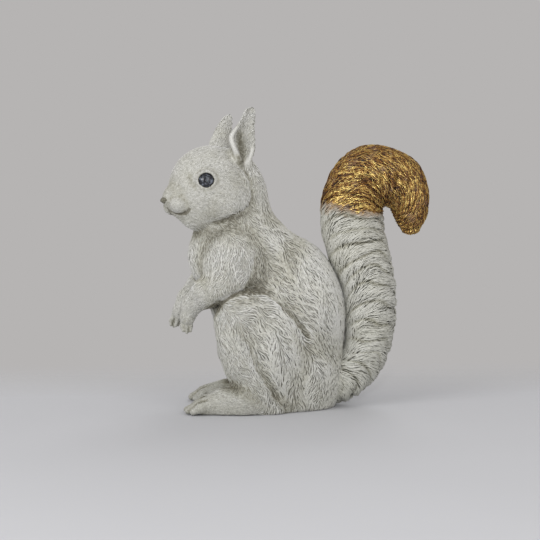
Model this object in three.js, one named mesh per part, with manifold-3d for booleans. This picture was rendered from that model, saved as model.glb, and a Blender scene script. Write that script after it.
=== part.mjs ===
// A life-size squirrel ornament, cast in resin: it sits up on its haunches with the forepaws held out in
// front, the head turned to its own left, and the thick tail raised behind with its gilded tip curled back.
// Millimetres. +Z is up, the nose points along -X and the animal's left side faces -Y. The origin is on the
// floor, under the middle of the figure.

import * as THREE from 'three';
import { mergeVertices } from 'three/addons/utils/BufferGeometryUtils.js';
import Module from 'manifold-3d';

const wasm = await Module();
wasm.setup();

// ---- driving sizes ----

const GAP = 0.3; // between pieces that meet
const WELD = 1e-3; // points closer than this are one
const STILL = new THREE.Matrix4(); // no move
const LEFT = -1; // sides, as signs of Y
const RIGHT = 1;

const HAUNCH_Y = 25; // from the middle of the body to the middle of a thigh
const SHOULDER_Y = 25;
const FOOT_Y = 31;
const FAR_PAW_LEAD = 6; // the right forepaw is held this much further forward
const FAR_SHIN_LEAD = 5; // and the right shin this much

const HEAD_CENTRE = [-61, 0, 171];
const HEAD_TURN = 20; // degrees towards the left side
const HEAD_LEAN = 9.5; // degrees, the right ear lower than the left

const EYE_RADIUS = 7.6;
const LID_RING = 6.7; // radius of the middle of the eyelids' roll
const LID_ROLL = 1.3; // radius of the roll itself
const LID_OUT = 4.6; // how far its middle is out from the middle of the eye
const EYE_CENTRE = [-15.4, 18.8, 4.3]; // in the head's frame, right eye
const EAR_HEIGHT = 50;
const EAR_WIDTH = 23;
const EAR_WALL = 2.6;

// ---- forms: functions from a point to its distance from a surface, negative inside ----

const at = ([x, y, z]) => new THREE.Vector3(x, y, z);
const radians = THREE.MathUtils.degToRad;

// An ellipsoid, leaning by some degrees about the Y axis: a positive lean tips its top towards -X.
function ball(centre, radii, lean = 0) {
  const [rx, ry, rz] = radii;
  const c = Math.cos(radians(lean));
  const s = Math.sin(radians(lean));
  return (p) => {
    const dx = p.x - centre[0];
    const dz = p.z - centre[2];
    const x = (c * dx + s * dz) / rx;
    const y = (p.y - centre[1]) / ry;
    const z = (c * dz - s * dx) / rz;
    const k0 = Math.hypot(x, y, z);
    const k1 = Math.hypot(x / rx, y / ry, z / rz);
    return (k0 * (k0 - 1)) / (k1 + 1e-9);
  };
}

// A chain of tapered lengths through these points, each point with its own radius.
function limb(points, radii, softness = 2) {
  const parts = points.slice(1).map((b, i) => {
    const a = points[i];
    const along = b.map((v, k) => v - a[k]);
    const square = along.reduce((sum, v) => sum + v * v, 0);
    return (p) => {
      const x = p.x - a[0];
      const y = p.y - a[1];
      const z = p.z - a[2];
      const h = THREE.MathUtils.clamp((x * along[0] + y * along[1] + z * along[2]) / square, 0, 1);
      const distance = Math.hypot(x - h * along[0], y - h * along[1], z - h * along[2]);
      return distance - radii[i] - h * (radii[i + 1] - radii[i]);
    };
  });
  return blend(softness, ...parts);
}

// One form out of several, with a fillet of this softness where they meet.
function blend(softness, ...forms) {
  return (p) => {
    let d = forms[0](p);
    for (let i = 1; i < forms.length; i++) {
      const e = forms[i](p);
      const h = Math.max(softness - Math.abs(d - e), 0) / softness;
      d = Math.min(d, e) - (h * h * softness) / 4;
    }
    return d;
  };
}

// ---- from three.js geometry to solids and back ----

// A closed geometry as a solid: its seams are merged and its collapsed triangles dropped.
function solid(geometry) {
  const bare = new THREE.BufferGeometry();
  bare.setAttribute('position', geometry.getAttribute('position'));
  bare.setIndex(geometry.index);
  const merged = mergeVertices(bare, WELD);
  const index = merged.index.array;
  const kept = [];
  for (let i = 0; i < index.length; i += 3) {
    const [a, b, c] = index.subarray(i, i + 3);
    if (a !== b && b !== c && c !== a) kept.push(a, b, c);
  }
  return new wasm.Manifold(new wasm.Mesh({
    numProp: 3,
    vertProperties: merged.attributes.position.array,
    triVerts: new Uint32Array(kept),
  }));
}

// The largest closed surface of a solid.
function largest(made) {
  return made.decompose().reduce((best, s) => (s.volume() > best.volume() ? s : best));
}

function geometryOf(made) {
  const mesh = largest(made).getMesh();
  const geometry = new THREE.BufferGeometry();
  geometry.setAttribute('position', new THREE.BufferAttribute(mesh.vertProperties, 3));
  geometry.setIndex(new THREE.BufferAttribute(mesh.triVerts, 1));
  return geometry;
}

// ---- skins: a capsule whose points are pushed out from a spine until they meet a form ----

// The directions across, along and beside a spine at one place. Beside is as near to +Y as it can be.
function frameAt(spine, t) {
  const along = spine.getTangent(t).normalize();
  const beside = new THREE.Vector3(0, 1, 0).addScaledVector(along, -along.y).normalize();
  return { along, beside, across: new THREE.Vector3().crossVectors(along, beside) };
}

// How far out from a point inside a form its surface is, in one direction.
function reach(form, from, direction, level) {
  const p = new THREE.Vector3();
  const depth = (t) => form(p.copy(from).addScaledVector(direction, t)) - level;
  let inside = 0;
  let outside = 0;
  while (depth(outside) < 0 && outside < 200) {
    inside = outside;
    outside += Math.max(-depth(outside) * 0.6, 0.4);
  }
  for (let i = 0; i < 24; i++) {
    const middle = (inside + outside) / 2;
    if (depth(middle) < 0) inside = middle;
    else outside = middle;
  }
  return outside;
}

// A form's surface as a solid. detail is [segments of each end cap, segments around, segments along].
function skin(form, points, detail, level = 0, pose = STILL) {
  const spine = new THREE.CatmullRomCurve3(points.map(at));
  const geometry = new THREE.CapsuleGeometry(1, 1, ...detail);
  const { position, normal } = geometry.attributes;
  const direction = new THREE.Vector3();
  for (let i = 0; i < position.count; i++) {
    const t = THREE.MathUtils.clamp(position.getY(i) + 0.5, 0, 1);
    const from = spine.getPoint(t);
    const { along, beside, across } = frameAt(spine, t);
    direction.set(0, 0, 0)
      .addScaledVector(across, normal.getX(i))
      .addScaledVector(along, normal.getY(i))
      .addScaledVector(beside, normal.getZ(i))
      .normalize();
    from.addScaledVector(direction, reach(form, from, direction, level));
    position.setXYZ(i, from.x, from.y, from.z);
  }
  return solid(geometry.applyMatrix4(pose));
}

// The same surface GAP further out, for cutting a neighbour clear of it.
const clearance = (form, points, detail, pose) => skin(form, points, detail, GAP, pose);

const union = (first, ...rest) => rest.reduce((a, b) => a.add(b), first);
const cut = (first, ...tools) => tools.reduce((a, b) => a.subtract(b), first);

// ---- the trunk: rump, back, belly, chest and neck ----

const NECK_CUT = { x: -43, z: 140, lean: 12 }; // where the neck meets the torso

const trunkForm = blend(13,
  ball([-2.5, 0, 28], [41, 32, 48]), // rump
  ball([12.5, 0, 87], [24, 31, 46], 17.5), // back
  ball([-5, 0, 80], [32, 29.5, 42], 17), // flanks
  ball([-29, 0, 84], [38, 27, 31]), // belly
  ball([-41, 0, 119], [42.5, 26, 36]), // chest
  ball([-49.5, 0, 159.5], [29, 18, 43], 5), // neck
);
const trunkSpine = [[-4, 0, 28], [-12, 0, 68], [-29, 0, 108], [-46, 0, 148]];
const TRUNK_DETAIL = [4, 24, 10];

// ---- the head, in a frame of its own: nose along -X, its middle at the origin ----

const headPose = new THREE.Matrix4().makeRotationZ(radians(HEAD_TURN))
  .multiply(new THREE.Matrix4().makeRotationX(radians(-HEAD_LEAN)))
  .setPosition(...HEAD_CENTRE);

const headForm = blend(7,
  ball([-5, 0, 2.5], [31.5, 26.5, 31.5]), // cranium
  ball([-16.5, 0, -3.5], [20.5, 17, 28.5]), // face
  ball([6, 14.5, -10], [18.5, 13, 15.5]), // cheeks
  ball([6, -14.5, -10], [18.5, 13, 15.5]),
  ball([-34.5, 0, -6], [10.5, 9, 9]), // muzzle
  ball([-26, 0, -13.5], [13.5, 10, 7]), // chin
  ball([-34, 6.2, -11.3], [7.6, 6.6, 6.8]), // whisker pads
  ball([-34, -6.2, -11.3], [7.6, 6.6, 6.8]),
);
const headSpine = [[-34, 0, -9], [-16, 0, -5], [6, 0, -2]];
const HEAD_DETAIL = [4, 24, 6];

const noseForm = ball([-42.6, 0, -7.8], [3.6, 4.6, 3.2]);
const noseSpine = [[-43, 0, -7.8], [-42.2, 0, -7.8]];
const NOSE_DETAIL = [3, 12, 1];

// A line along the lips, from corner to corner round the front of the muzzle.
const MOUTH = [
  [-28, 14.5, -16.5], [-31.5, 11.8, -18.9], [-36.1, 9, -19.2], [-41.3, 5.5, -16.5], [-43.8, 0, -13.2],
];
const MOUTH_OPEN = 1; // half of the groove's height
const MOUTH_DEEP = 2.2;

// ---- ears: a leaf rolled into a cup that opens forward, standing from a root sunk in the head ----

const EAR_ROOT = [13.8, 21.5, 11]; // in the head's frame, right ear
const EAR_TIP_BACK = 2.5; // how far its tip leans back
const FAR_EAR_LEAD = 3.5; // the right ear stands this much further forward
const EAR_SPLAY = -2; // how far the tip leans outward
const EAR_WIDEST = 0.45; // of the way up
const EAR_SUNK = 9; // how far its foot is drawn in under the skin of the head
const EAR_FRONT_ROLL = { foot: 160, tip: 60 }; // degrees that the front half is rolled over
const EAR_REAR_ROLL = { foot: 78, tip: 38 };

// How wide the ear is, as a share of its full width, and how far it has unrolled, up its height.
const earSpread = (v) => (v < EAR_WIDEST
  ? THREE.MathUtils.lerp(0.36, 1, Math.sin((v / EAR_WIDEST) * Math.PI / 2))
  : THREE.MathUtils.lerp(1, 0.26, ((v - EAR_WIDEST) / (1 - EAR_WIDEST)) ** 1.3));
const earRoll = ({ foot, tip }, v) => (
  radians(THREE.MathUtils.lerp(foot, tip, THREE.MathUtils.smoothstep(v, 0.05, 0.85))));
const rollReach = (roll) => Math.sin(Math.min(roll, Math.PI / 2)); // of a rolled half, over its radius

function ear(side) {
  const geometry = new THREE.BoxGeometry(2, 1, 1, 10, 7, 1);
  const { position } = geometry.attributes;
  const x = EAR_ROOT[0] - (side === RIGHT ? FAR_EAR_LEAD : 0);
  for (let i = 0; i < position.count; i++) {
    const u = -side * position.getX(i);
    const v = position.getY(i) + 0.5;
    const front = earRoll(EAR_FRONT_ROLL, v);
    const rear = earRoll(EAR_REAR_ROLL, v);
    const turn = u * (u < 0 ? front : rear);
    const half = EAR_WIDTH / 2 * earSpread(v);
    const round = 2 * half / (rollReach(front) + rollReach(rear));
    const wall = EAR_WALL * (1 - 0.35 * v);
    const r = round - wall / 2 - position.getZ(i) * wall;
    const rearward = (EAR_WIDTH / 2 - half) * (v < EAR_WIDEST ? 0.1 : 1) - half + round * rollReach(front);
    const sunk = EAR_SUNK * Math.max(1 - v / 0.3, 0) ** 2;
    const outward = EAR_ROOT[1] + EAR_SPLAY * v - sunk + round * Math.cos(rear) - r * Math.cos(turn);
    position.setXYZ(i,
      x + EAR_TIP_BACK * v + rearward + r * Math.sin(turn),
      side * outward,
      EAR_ROOT[2] + EAR_HEIGHT * v * (1 - 0.05 * u * u));
  }
  return solid(geometry.applyMatrix4(headPose));
}

// ---- hind legs ----

const thighForm = (side) => blend(7,
  ball([-27.5, side * HAUNCH_Y, 49], [32.5, 17, 46], 13),
  ball([-45.5, side * (HAUNCH_Y + 3), 72], [18, 14, 21]), // knee
);
const thighSpine = (side) => [[-42, side * HAUNCH_Y, 67], [-28, side * HAUNCH_Y, 37]];
const THIGH_DETAIL = [4, 16, 5];

const shin = (side) => (side === RIGHT ? -42 - FAR_SHIN_LEAD : -42);
const shankForm = (side) => limb(
  [[-48, side * 31, 60], [shin(side), side * 33.5, 39], [-29, side * 34, 17]],
  [14, 12.5, 10],
);
const shankSpine = (side) => [[-47, side * 31, 58], [shin(side), side * 33.5, 39], [-31, side * 34, 20]];
const SHANK_DETAIL = [3, 14, 5];

const FAR_FOOT_BACK = 4; // the right hind foot is set this much further back
const FAR_INSTEP_LOW = 3; // and its instep is this much lower
const FOOT_BALL = -70; // X of where the toes start
const TOES = [ // from the inner one out: how far aside of the foot's middle, and its length
  { aside: -8.6, length: 11 },
  { aside: -3, length: 14 },
  { aside: 2.6, length: 13.5 },
  { aside: 8, length: 10.5 },
];
const TOE_RADIUS = 4.3;

// A point of the foot: along X, outward of the foot's middle, and up from the floor.
const onFoot = (side, x, outward, z) => [
  x + (side === RIGHT ? FAR_FOOT_BACK : 0), side * (FOOT_Y + outward), z,
];
const instep = (side) => (side === RIGHT ? -FAR_INSTEP_LOW : 0);
const footForm = (side) => limb([
  onFoot(side, -24, 0, 7), onFoot(side, -42, 1, 9.3 + instep(side)),
  onFoot(side, -58, 0, 8.5 + instep(side)), onFoot(side, FOOT_BALL, 0, 7 + instep(side) / 2),
], [9.5, 12.7, 12, 10.5]);
const footSpine = (side) => [
  onFoot(side, -26, 0, 6), onFoot(side, -46, 1, 8), onFoot(side, FOOT_BALL, 0, 6.5),
];
const FOOT_DETAIL = [3, 12, 6];

const toeForm = (side, { aside, length }) => limb([
  onFoot(side, FOOT_BALL + 10, 0.6 * aside, 10.5),
  onFoot(side, FOOT_BALL - 0.5 * length, aside, 7.2),
  onFoot(side, FOOT_BALL - length, aside, 3.4),
], [TOE_RADIUS + 1.2, TOE_RADIUS + 0.4, TOE_RADIUS]);
const toeSpine = (side, { aside, length }) => [
  onFoot(side, FOOT_BALL + 4, 0.75 * aside, 9),
  onFoot(side, FOOT_BALL - 0.5 * length, aside, 7),
  onFoot(side, FOOT_BALL - length + 0.6, aside, 3.8),
];
const TOE_DETAIL = [1, 7, 3];

// ---- forelegs ----

const upperArmForm = (side) => blend(6,
  ball([-51.5, side * SHOULDER_Y, 114], [20, 13, 25], -8),
  limb([[-49, side * SHOULDER_Y, 108], [-57, side * (SHOULDER_Y + 1), 98.5]], [12.5, 12]),
);
const upperArmSpine = (side) => [[-47, side * SHOULDER_Y, 119], [-53, side * SHOULDER_Y, 101]];
const UPPER_ARM_DETAIL = [3, 14, 3];

const lead = (side) => (side === RIGHT ? -FAR_PAW_LEAD : 0);
const wrist = (side) => [-84.3 + lead(side), side * 17, 73];
const forearmForm = (side) => limb([
  [-56 + lead(side) / 3, side * 26, 98], [-70 + lead(side) / 2, side * 24, 92.5],
  [-79.7 + 0.7 * lead(side), side * 20, 84], wrist(side),
], [12.2, 11.6, 8, 6]);
const forearmSpine = (side) => [
  [-59 + lead(side) / 3, side * 26, 97], [-70 + lead(side) / 2, side * 24, 92],
  [-79.7 + 0.7 * lead(side), side * 20, 84], [-83.9 + lead(side), side * 17, 74.5],
];
const FOREARM_DETAIL = [3, 12, 6];

const FINGERS = [ // from the front one back: how far aside, how far back, and its length below the palm
  { aside: 0.8, back: -3.7, length: 4.8 },
  { aside: -0.9, back: -1.5, length: 6 },
  { aside: -0.8, back: 0.8, length: 5.8 },
  { aside: 0.9, back: 3, length: 4.6 },
];
const FINGER_RADIUS = 1.6;

// A point of the paw, in millimetres back, outward and down from its wrist.
const fromWrist = (side, back, outward, down) => {
  const [x, y, z] = wrist(side);
  const bend = side === RIGHT ? -0.35 * down : 0;
  return [x + back + bend, y + side * outward, z - down];
};
const palmForm = (side) => ball(fromWrist(side, 0, 0, 2.2), [5.7, 5.8, 5.6]);
const palmSpine = (side) => [fromWrist(side, 0, 0, 0.4), fromWrist(side, 0, 0, 3.8)];
const fingerForm = (side, { aside, back, length }) => limb([
  fromWrist(side, 0.8 * back, 0.9 * aside, 2.5),
  fromWrist(side, 1.1 * back - 0.6, aside, 7),
  fromWrist(side, 0.9 * back, aside, 7.5 + length - FINGER_RADIUS),
], [FINGER_RADIUS + 0.3, FINGER_RADIUS + 0.3, FINGER_RADIUS]);
const fingerSpine = (side, { aside, back, length }) => [
  fromWrist(side, 0.8 * back, 0.9 * aside, 3),
  fromWrist(side, 1.1 * back - 0.6, aside, 7),
  fromWrist(side, 0.9 * back, aside, 7 + length - FINGER_RADIUS),
];
const PALM_DETAIL = [2, 10, 2];
const FINGER_DETAIL = [2, 6, 2];

// ---- the tail: an oval section carried between its front edge and its back edge ----

// Where each edge passes, as [x, z], and half the tail's thickness from side to side there.
const TAIL = [
  { front: [14, 32], back: [18, 0.8], depth: 15 },
  { front: [31, 37], back: [43, 5.8], depth: 16.5 },
  { front: [38.3, 49.1], back: [67, 27], depth: 18 },
  { front: [38.4, 68.2], back: [77, 59.1], depth: 19 },
  { front: [35.5, 93.3], back: [78.3, 94.3], depth: 20 },
  { front: [25.7, 117.1], back: [73.8, 119.5], depth: 20.5 },
  { front: [19.6, 141.6], back: [69.2, 140.6], depth: 21 },
  { front: [20.3, 166.7], back: [68.6, 154.2], depth: 21 },
  { front: [32, 191.9], back: [70, 156.5], depth: 21 },
  { front: [52.3, 205.2], back: [71.1, 156.8], depth: 20.5 },
  { front: [76, 203.4], back: [72.4, 156.2], depth: 19.5 },
  { front: [96, 191.7], back: [74.2, 154.5], depth: 18 },
  { front: [105, 170.7], back: [76.2, 150.6], depth: 16.5 },
  { front: [104.3, 150.6], back: [78.3, 145.9], depth: 14 },
  { front: [98.5, 139.1], back: [83.5, 138.1], depth: 9.5 },
];
const TAIL_CUTS = [0.2, 0.45, 0.7]; // where its lengths meet, as shares of the way along it
const curveThrough = (points) => new THREE.CatmullRomCurve3(points.map(([x, z]) => at([x, 0, z])));
const tailFront = curveThrough(TAIL.map(({ front }) => front));
const tailBack = curveThrough(TAIL.map(({ back }) => back));
const tailDepth = curveThrough(TAIL.map(({ depth }, i) => [depth, i]));

// The tail's middle, directions and half sizes at t, from 0 at the root to 1 at the tip.
function tailSection(t) {
  const place = THREE.MathUtils.clamp(t, 0, 1);
  const front = tailFront.getPoint(place);
  const back = tailBack.getPoint(place);
  const across = back.clone().sub(front);
  const width = across.length() / 2;
  across.normalize();
  const beside = new THREE.Vector3(0, 1, 0);
  const along = new THREE.Vector3().crossVectors(across, beside);
  const depth = tailDepth.getPoint(place).x;
  return { middle: front.add(back).multiplyScalar(0.5), across, along, beside, width, depth };
}

// A point on the tail, or height above it: t along, angle round from the front edge over the side.
function tailPoint(t, angle, height = 0, beyond = 0) {
  const { middle, across, along, beside, width, depth } = tailSection(t);
  return middle
    .addScaledVector(across, -(width + height) * Math.cos(angle))
    .addScaledVector(beside, (depth + height) * Math.sin(angle))
    .addScaledVector(along, beyond);
}

const TAIL_DETAIL = [2, 12, 16];
const CORE_DEPTH = 0.8; // of the tail's core under the crests of its locks
const TAIL_END = 4.5; // how far the tip's rounding stands past the last station

function tailCore() {
  const geometry = new THREE.CapsuleGeometry(1, 1, ...TAIL_DETAIL);
  const { position } = geometry.attributes;
  for (let i = 0; i < position.count; i++) {
    const y = position.getY(i);
    const t = THREE.MathUtils.clamp(y + 0.5, 0, 1);
    const round = Math.hypot(position.getX(i), position.getZ(i));
    const angle = Math.atan2(-position.getZ(i), -position.getX(i));
    const p = tailPoint(t, angle, -CORE_DEPTH, (y + 0.5 - t) * TAIL_END);
    const { middle, along } = tailSection(t);
    const level = middle.addScaledVector(along, (y + 0.5 - t) * TAIL_END);
    p.lerp(level, 1 - round);
    position.setXYZ(i, p.x, p.y, p.z);
  }
  return solid(geometry);
}

// Locks of carved hair lie across both sides of the tail, each from a root near its front edge to a tip
// at its back edge, while it climbs towards the tail's tip.
const LOCK_ROWS = 16; // on each side
const LOCK_FROM = 0.15; // radians round from the front edge to the nearest roots
const LOCK_TO = 2.95; // radians round to the nearest tips
const LOCK_STRAY = 0.25; // radians that roots and tips wander on from there
const LOCK_CLIMB = 0.1; // as a share of the way along the tail
const LOCK_BEND = 1.8; // above 1, most of the climb is near the root
const LOCK_WIDTH = 7; // half of the widest one
const LOCK_SPREAD = 0.68; // half of its width where rows crowd, as a share of a row's height there
const LOCK_RISE = 1.9; // half of its thickness
const LOCK_WIDEST = 0.3; // where it is widest, as a share of its length
const LOCK_ROOT_WIDTH = 0.45; // as a share of its full width
const LOCK_TIP_WIDTH = 0.16;
const LOCK_CREST = 0.8; // where it stands highest
const LOCK_ROOT_DIP = 1; // how far its root is sunk below its crest
const LOCK_TIP_DIP = 1.8;
const LOCK_DETAIL = [1, 4, 4];

// Numbers from 0 to 1 that look random but are the same each time.
function seeded(seed) {
  let state = seed;
  return () => {
    state = (Math.imul(state, 1664525) + 1013904223) >>> 0;
    return state / 2 ** 32;
  };
}

// A lock's half width, as a share of the widest, at s from its root at 0 to its tip at 1.
const lockTaper = (s) => (s < LOCK_WIDEST
  ? THREE.MathUtils.lerp(LOCK_ROOT_WIDTH, 1, s / LOCK_WIDEST)
  : THREE.MathUtils.lerp(1, LOCK_TIP_WIDTH, ((s - LOCK_WIDEST) / (1 - LOCK_WIDEST)) ** 1.4));

// How high the lock's middle stands at s: both its ends dip into the core.
const lockHeight = (s) => (s < LOCK_CREST
  ? THREE.MathUtils.lerp(-LOCK_ROOT_DIP, 0, s / LOCK_CREST)
  : THREE.MathUtils.lerp(0, -LOCK_TIP_DIP, (s - LOCK_CREST) / (1 - LOCK_CREST)));

// A lock from a root to a tip. point gives the place at s along it and a height above the surface that it
// lies on, and halfWidth its half width at s before it tapers.
function lock(point, halfWidth, rise, lift, detail) {
  const geometry = new THREE.CapsuleGeometry(1, 1, ...detail);
  const { position } = geometry.attributes;
  for (let i = 0; i < position.count; i++) {
    const y = position.getY(i) + 0.5;
    const s = THREE.MathUtils.clamp(y, 0, 1);
    const step = 0.02;
    const middle = point(s, 0);
    const ahead = point(Math.min(s + step, 1), 0).sub(point(Math.max(s - step, 0), 0)).normalize();
    const out = point(s, 1).sub(middle).normalize();
    const aside = new THREE.Vector3().crossVectors(ahead, out).normalize();
    const half = halfWidth(s) * lockTaper(s);
    middle.addScaledVector(out, lift + lockHeight(s) + position.getZ(i) * rise * (1 - 0.5 * s))
      .addScaledVector(aside, position.getX(i) * half)
      .addScaledVector(ahead, (y - s) * half);
    position.setXYZ(i, middle.x, middle.y, middle.z);
  }
  return solid(geometry);
}

function tailLock(side, start, from, to, climb, width) {
  const angle = (s) => side * THREE.MathUtils.lerp(from, to, s);
  const point = (s, height) => tailPoint(start + climb * (1 - (1 - s) ** LOCK_BEND), angle(s), height);
  const halfWidth = (s) => Math.min(width, LOCK_SPREAD * rowHeight(start, angle(s)));
  return lock(point, halfWidth, LOCK_RISE, 0, LOCK_DETAIL);
}

// How far apart the rows of locks are, at t along the tail and at this angle round it.
function rowHeight(t, angle) {
  const step = 0.01;
  return tailPoint(t + step, angle).distanceTo(tailPoint(t - step, angle)) / (2 * step) / LOCK_ROWS;
}

function tailLocks() {
  const random = seeded(7);
  const locks = [];
  for (let row = 0; row < LOCK_ROWS; row++) {
    for (const side of [LEFT, RIGHT]) {
      const start = (row + 0.3 * random()) / (LOCK_ROWS + 1);
      const from = LOCK_FROM + LOCK_STRAY * random();
      const to = LOCK_TO + LOCK_STRAY * random();
      const climb = LOCK_CLIMB * (0.85 + 0.3 * random());
      locks.push(tailLock(side, start, from, to, climb, LOCK_WIDTH * (0.85 + 0.15 * random())));
    }
  }
  return locks;
}

// ---- the coarsest clumps of carved hair on the body, where it is bare between the limbs ----

const TUFT_APART = 18; // from one to the next, both ways
const TUFT_LENGTH = 19;
const TUFT_WIDTH = 3; // half of the widest one
const TUFT_RISE = 1.3; // half of its thickness
const TUFT_LIFT = 0.5; // of its middle, over the way the tail's locks lie
const TUFT_TURN = 0.14; // radians it runs round towards the back
const TUFT_STRAY = 0.15; // radians round the trunk that a root wanders
const TUFT_CLEAR = 4; // from its middle line to any neighbour
const TUFT_DETAIL = [1, 4, 2];
const TAIL_SHADOW = { x: 24, y: 24, z: 112 }; // the tail lies against the back behind, within and below these

// A place on the trunk: t up its spine, angle round from the chest over the side, height above the skin.
const trunkCurve = new THREE.CatmullRomCurve3(trunkSpine.map(at));
function trunkPoint(t, angle, height) {
  const from = trunkCurve.getPoint(t);
  const { beside, across } = frameAt(trunkCurve, t);
  const direction = across.multiplyScalar(Math.cos(angle)).addScaledVector(beside, Math.sin(angle));
  return from.addScaledVector(direction, reach(trunkForm, from, direction, 0) + height);
}

// Whether a point of the trunk is clear of the limbs, the head and the tail.
function isBare(p) {
  const inHead = p.clone().applyMatrix4(headPose.clone().invert());
  const limbs = [LEFT, RIGHT].flatMap((side) => (
    [thighForm, shankForm, footForm, upperArmForm, forearmForm].map((form) => form(side)(p))));
  const behindTail = p.x > TAIL_SHADOW.x && Math.abs(p.y) < TAIL_SHADOW.y && p.z < TAIL_SHADOW.z;
  return !behindTail && Math.min(...limbs, headForm(inHead)) > TUFT_CLEAR && p.z > TUFT_CLEAR;
}

function bodyTufts() {
  const random = seeded(3);
  const tufts = [];
  const rise = TUFT_APART / trunkCurve.getLength();
  for (let t = rise, row = 0; t < 1; t += rise, row++) {
    const round = TUFT_APART / trunkPoint(t, Math.PI / 2, 0).y;
    for (let angle = (row % 2) * round / 2 - Math.PI; angle < Math.PI; angle += round) {
      const start = angle + TUFT_STRAY * (random() - 0.5);
      const down = TUFT_LENGTH / trunkCurve.getLength() * (0.85 + 0.3 * random());
      const point = (s, height) => trunkPoint(t - s * down, start + Math.sign(angle) * TUFT_TURN * s, height);
      if (t > down && [0, 0.5, 1].every((s) => isBare(point(s, 0)))) {
        tufts.push(lock(point, () => TUFT_WIDTH, TUFT_RISE, TUFT_LIFT, TUFT_DETAIL));
      }
    }
  }
  return tufts;
}

// A thin slab across the tail, to part it.
function tailSlab(t) {
  const { middle, across, along, beside, width, depth } = tailSection(t);
  const pose = new THREE.Matrix4().makeBasis(along, across, beside).setPosition(middle);
  return solid(new THREE.BoxGeometry(GAP, 2 * width + 7, 2 * depth + 10).applyMatrix4(pose));
}

// ---- cutting tools ----

const underFloor = solid(new THREE.BoxGeometry(400, 400, 100).translate(0, 0, -50));

// A tool of this section carried along a curve.
function groove(points, section, pose) {
  const shape = new THREE.Shape(section.map(([x, y]) => new THREE.Vector2(x, y)));
  const options = { steps: 10, bevelEnabled: false, extrudePath: new THREE.CatmullRomCurve3(points.map(at)) };
  return solid(new THREE.ExtrudeGeometry(shape, options).applyMatrix4(pose));
}

// ---- assembly ----

const resin = { color: 0xd6d3c6, roughness: 0.72, metalness: 0 };
const gilt = { color: 0xa87428, roughness: 0.38, metalness: 0.85 };
const darkGloss = { color: 0x2c2f33, roughness: 0.16, metalness: 0 };
const noseTint = { color: 0x8d8a84, roughness: 0.6, metalness: 0 };
const squirrel = new THREE.Group();

function add(name, made, finish = resin) {
  const mesh = new THREE.Mesh(geometryOf(made), new THREE.MeshStandardMaterial(finish));
  mesh.name = name;
  squirrel.add(mesh);
}

const trunk = cut(union(skin(trunkForm, trunkSpine, TRUNK_DETAIL), ...bodyTufts()), underFloor);
const trunkTool = clearance(trunkForm, trunkSpine, TRUNK_DETAIL);
const headTool = clearance(headForm, headSpine, HEAD_DETAIL, headPose);

const aboveNeckCut = solid(new THREE.BoxGeometry(200, 200, 100).translate(0, 0, 50)
  .rotateY(radians(NECK_CUT.lean)).translate(NECK_CUT.x, 0, NECK_CUT.z));
const aboveNeckGap = solid(new THREE.BoxGeometry(200, 200, 100).translate(0, 0, 50 + GAP)
  .rotateY(radians(NECK_CUT.lean)).translate(NECK_CUT.x, 0, NECK_CUT.z));

add('torso', cut(trunk, aboveNeckCut, headTool));
add('neck', cut(trunk.intersect(aboveNeckGap), headTool));

// The head and what it carries.
const eyeball = (side, radius) => solid(new THREE.SphereGeometry(radius, 14, 8)
  .translate(EYE_CENTRE[0], side * EYE_CENTRE[1], EYE_CENTRE[2]).applyMatrix4(headPose));
const lids = (side) => {
  const facing = at([-0.35, side, 0.1]).normalize(); // out of the eye
  const turn = new THREE.Quaternion().setFromUnitVectors(at([0, 0, 1]), facing);
  return solid(new THREE.TorusGeometry(LID_RING, LID_ROLL, 4, 16)
    .translate(0, 0, LID_OUT).applyQuaternion(turn)
    .translate(EYE_CENTRE[0], side * EYE_CENTRE[1], EYE_CENTRE[2]).applyMatrix4(headPose));
};
const mouthPath = [...MOUTH, ...MOUTH.slice(0, -1).reverse().map(([x, y, z]) => [x, -y, z])];
const mouthSection = [[-MOUTH_OPEN, 0], [0, -MOUTH_DEEP], [MOUTH_OPEN, 0], [0, MOUTH_DEEP]];
const skull = skin(headForm, headSpine, HEAD_DETAIL, 0, headPose);
const head = cut(union(skull, lids(LEFT), lids(RIGHT)),
  groove(mouthPath, mouthSection, headPose),
  clearance(noseForm, noseSpine, NOSE_DETAIL, headPose),
  eyeball(LEFT, EYE_RADIUS + GAP),
  eyeball(RIGHT, EYE_RADIUS + GAP),
);
add('head', head);
add('nose', skin(noseForm, noseSpine, NOSE_DETAIL, 0, headPose), noseTint);

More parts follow.
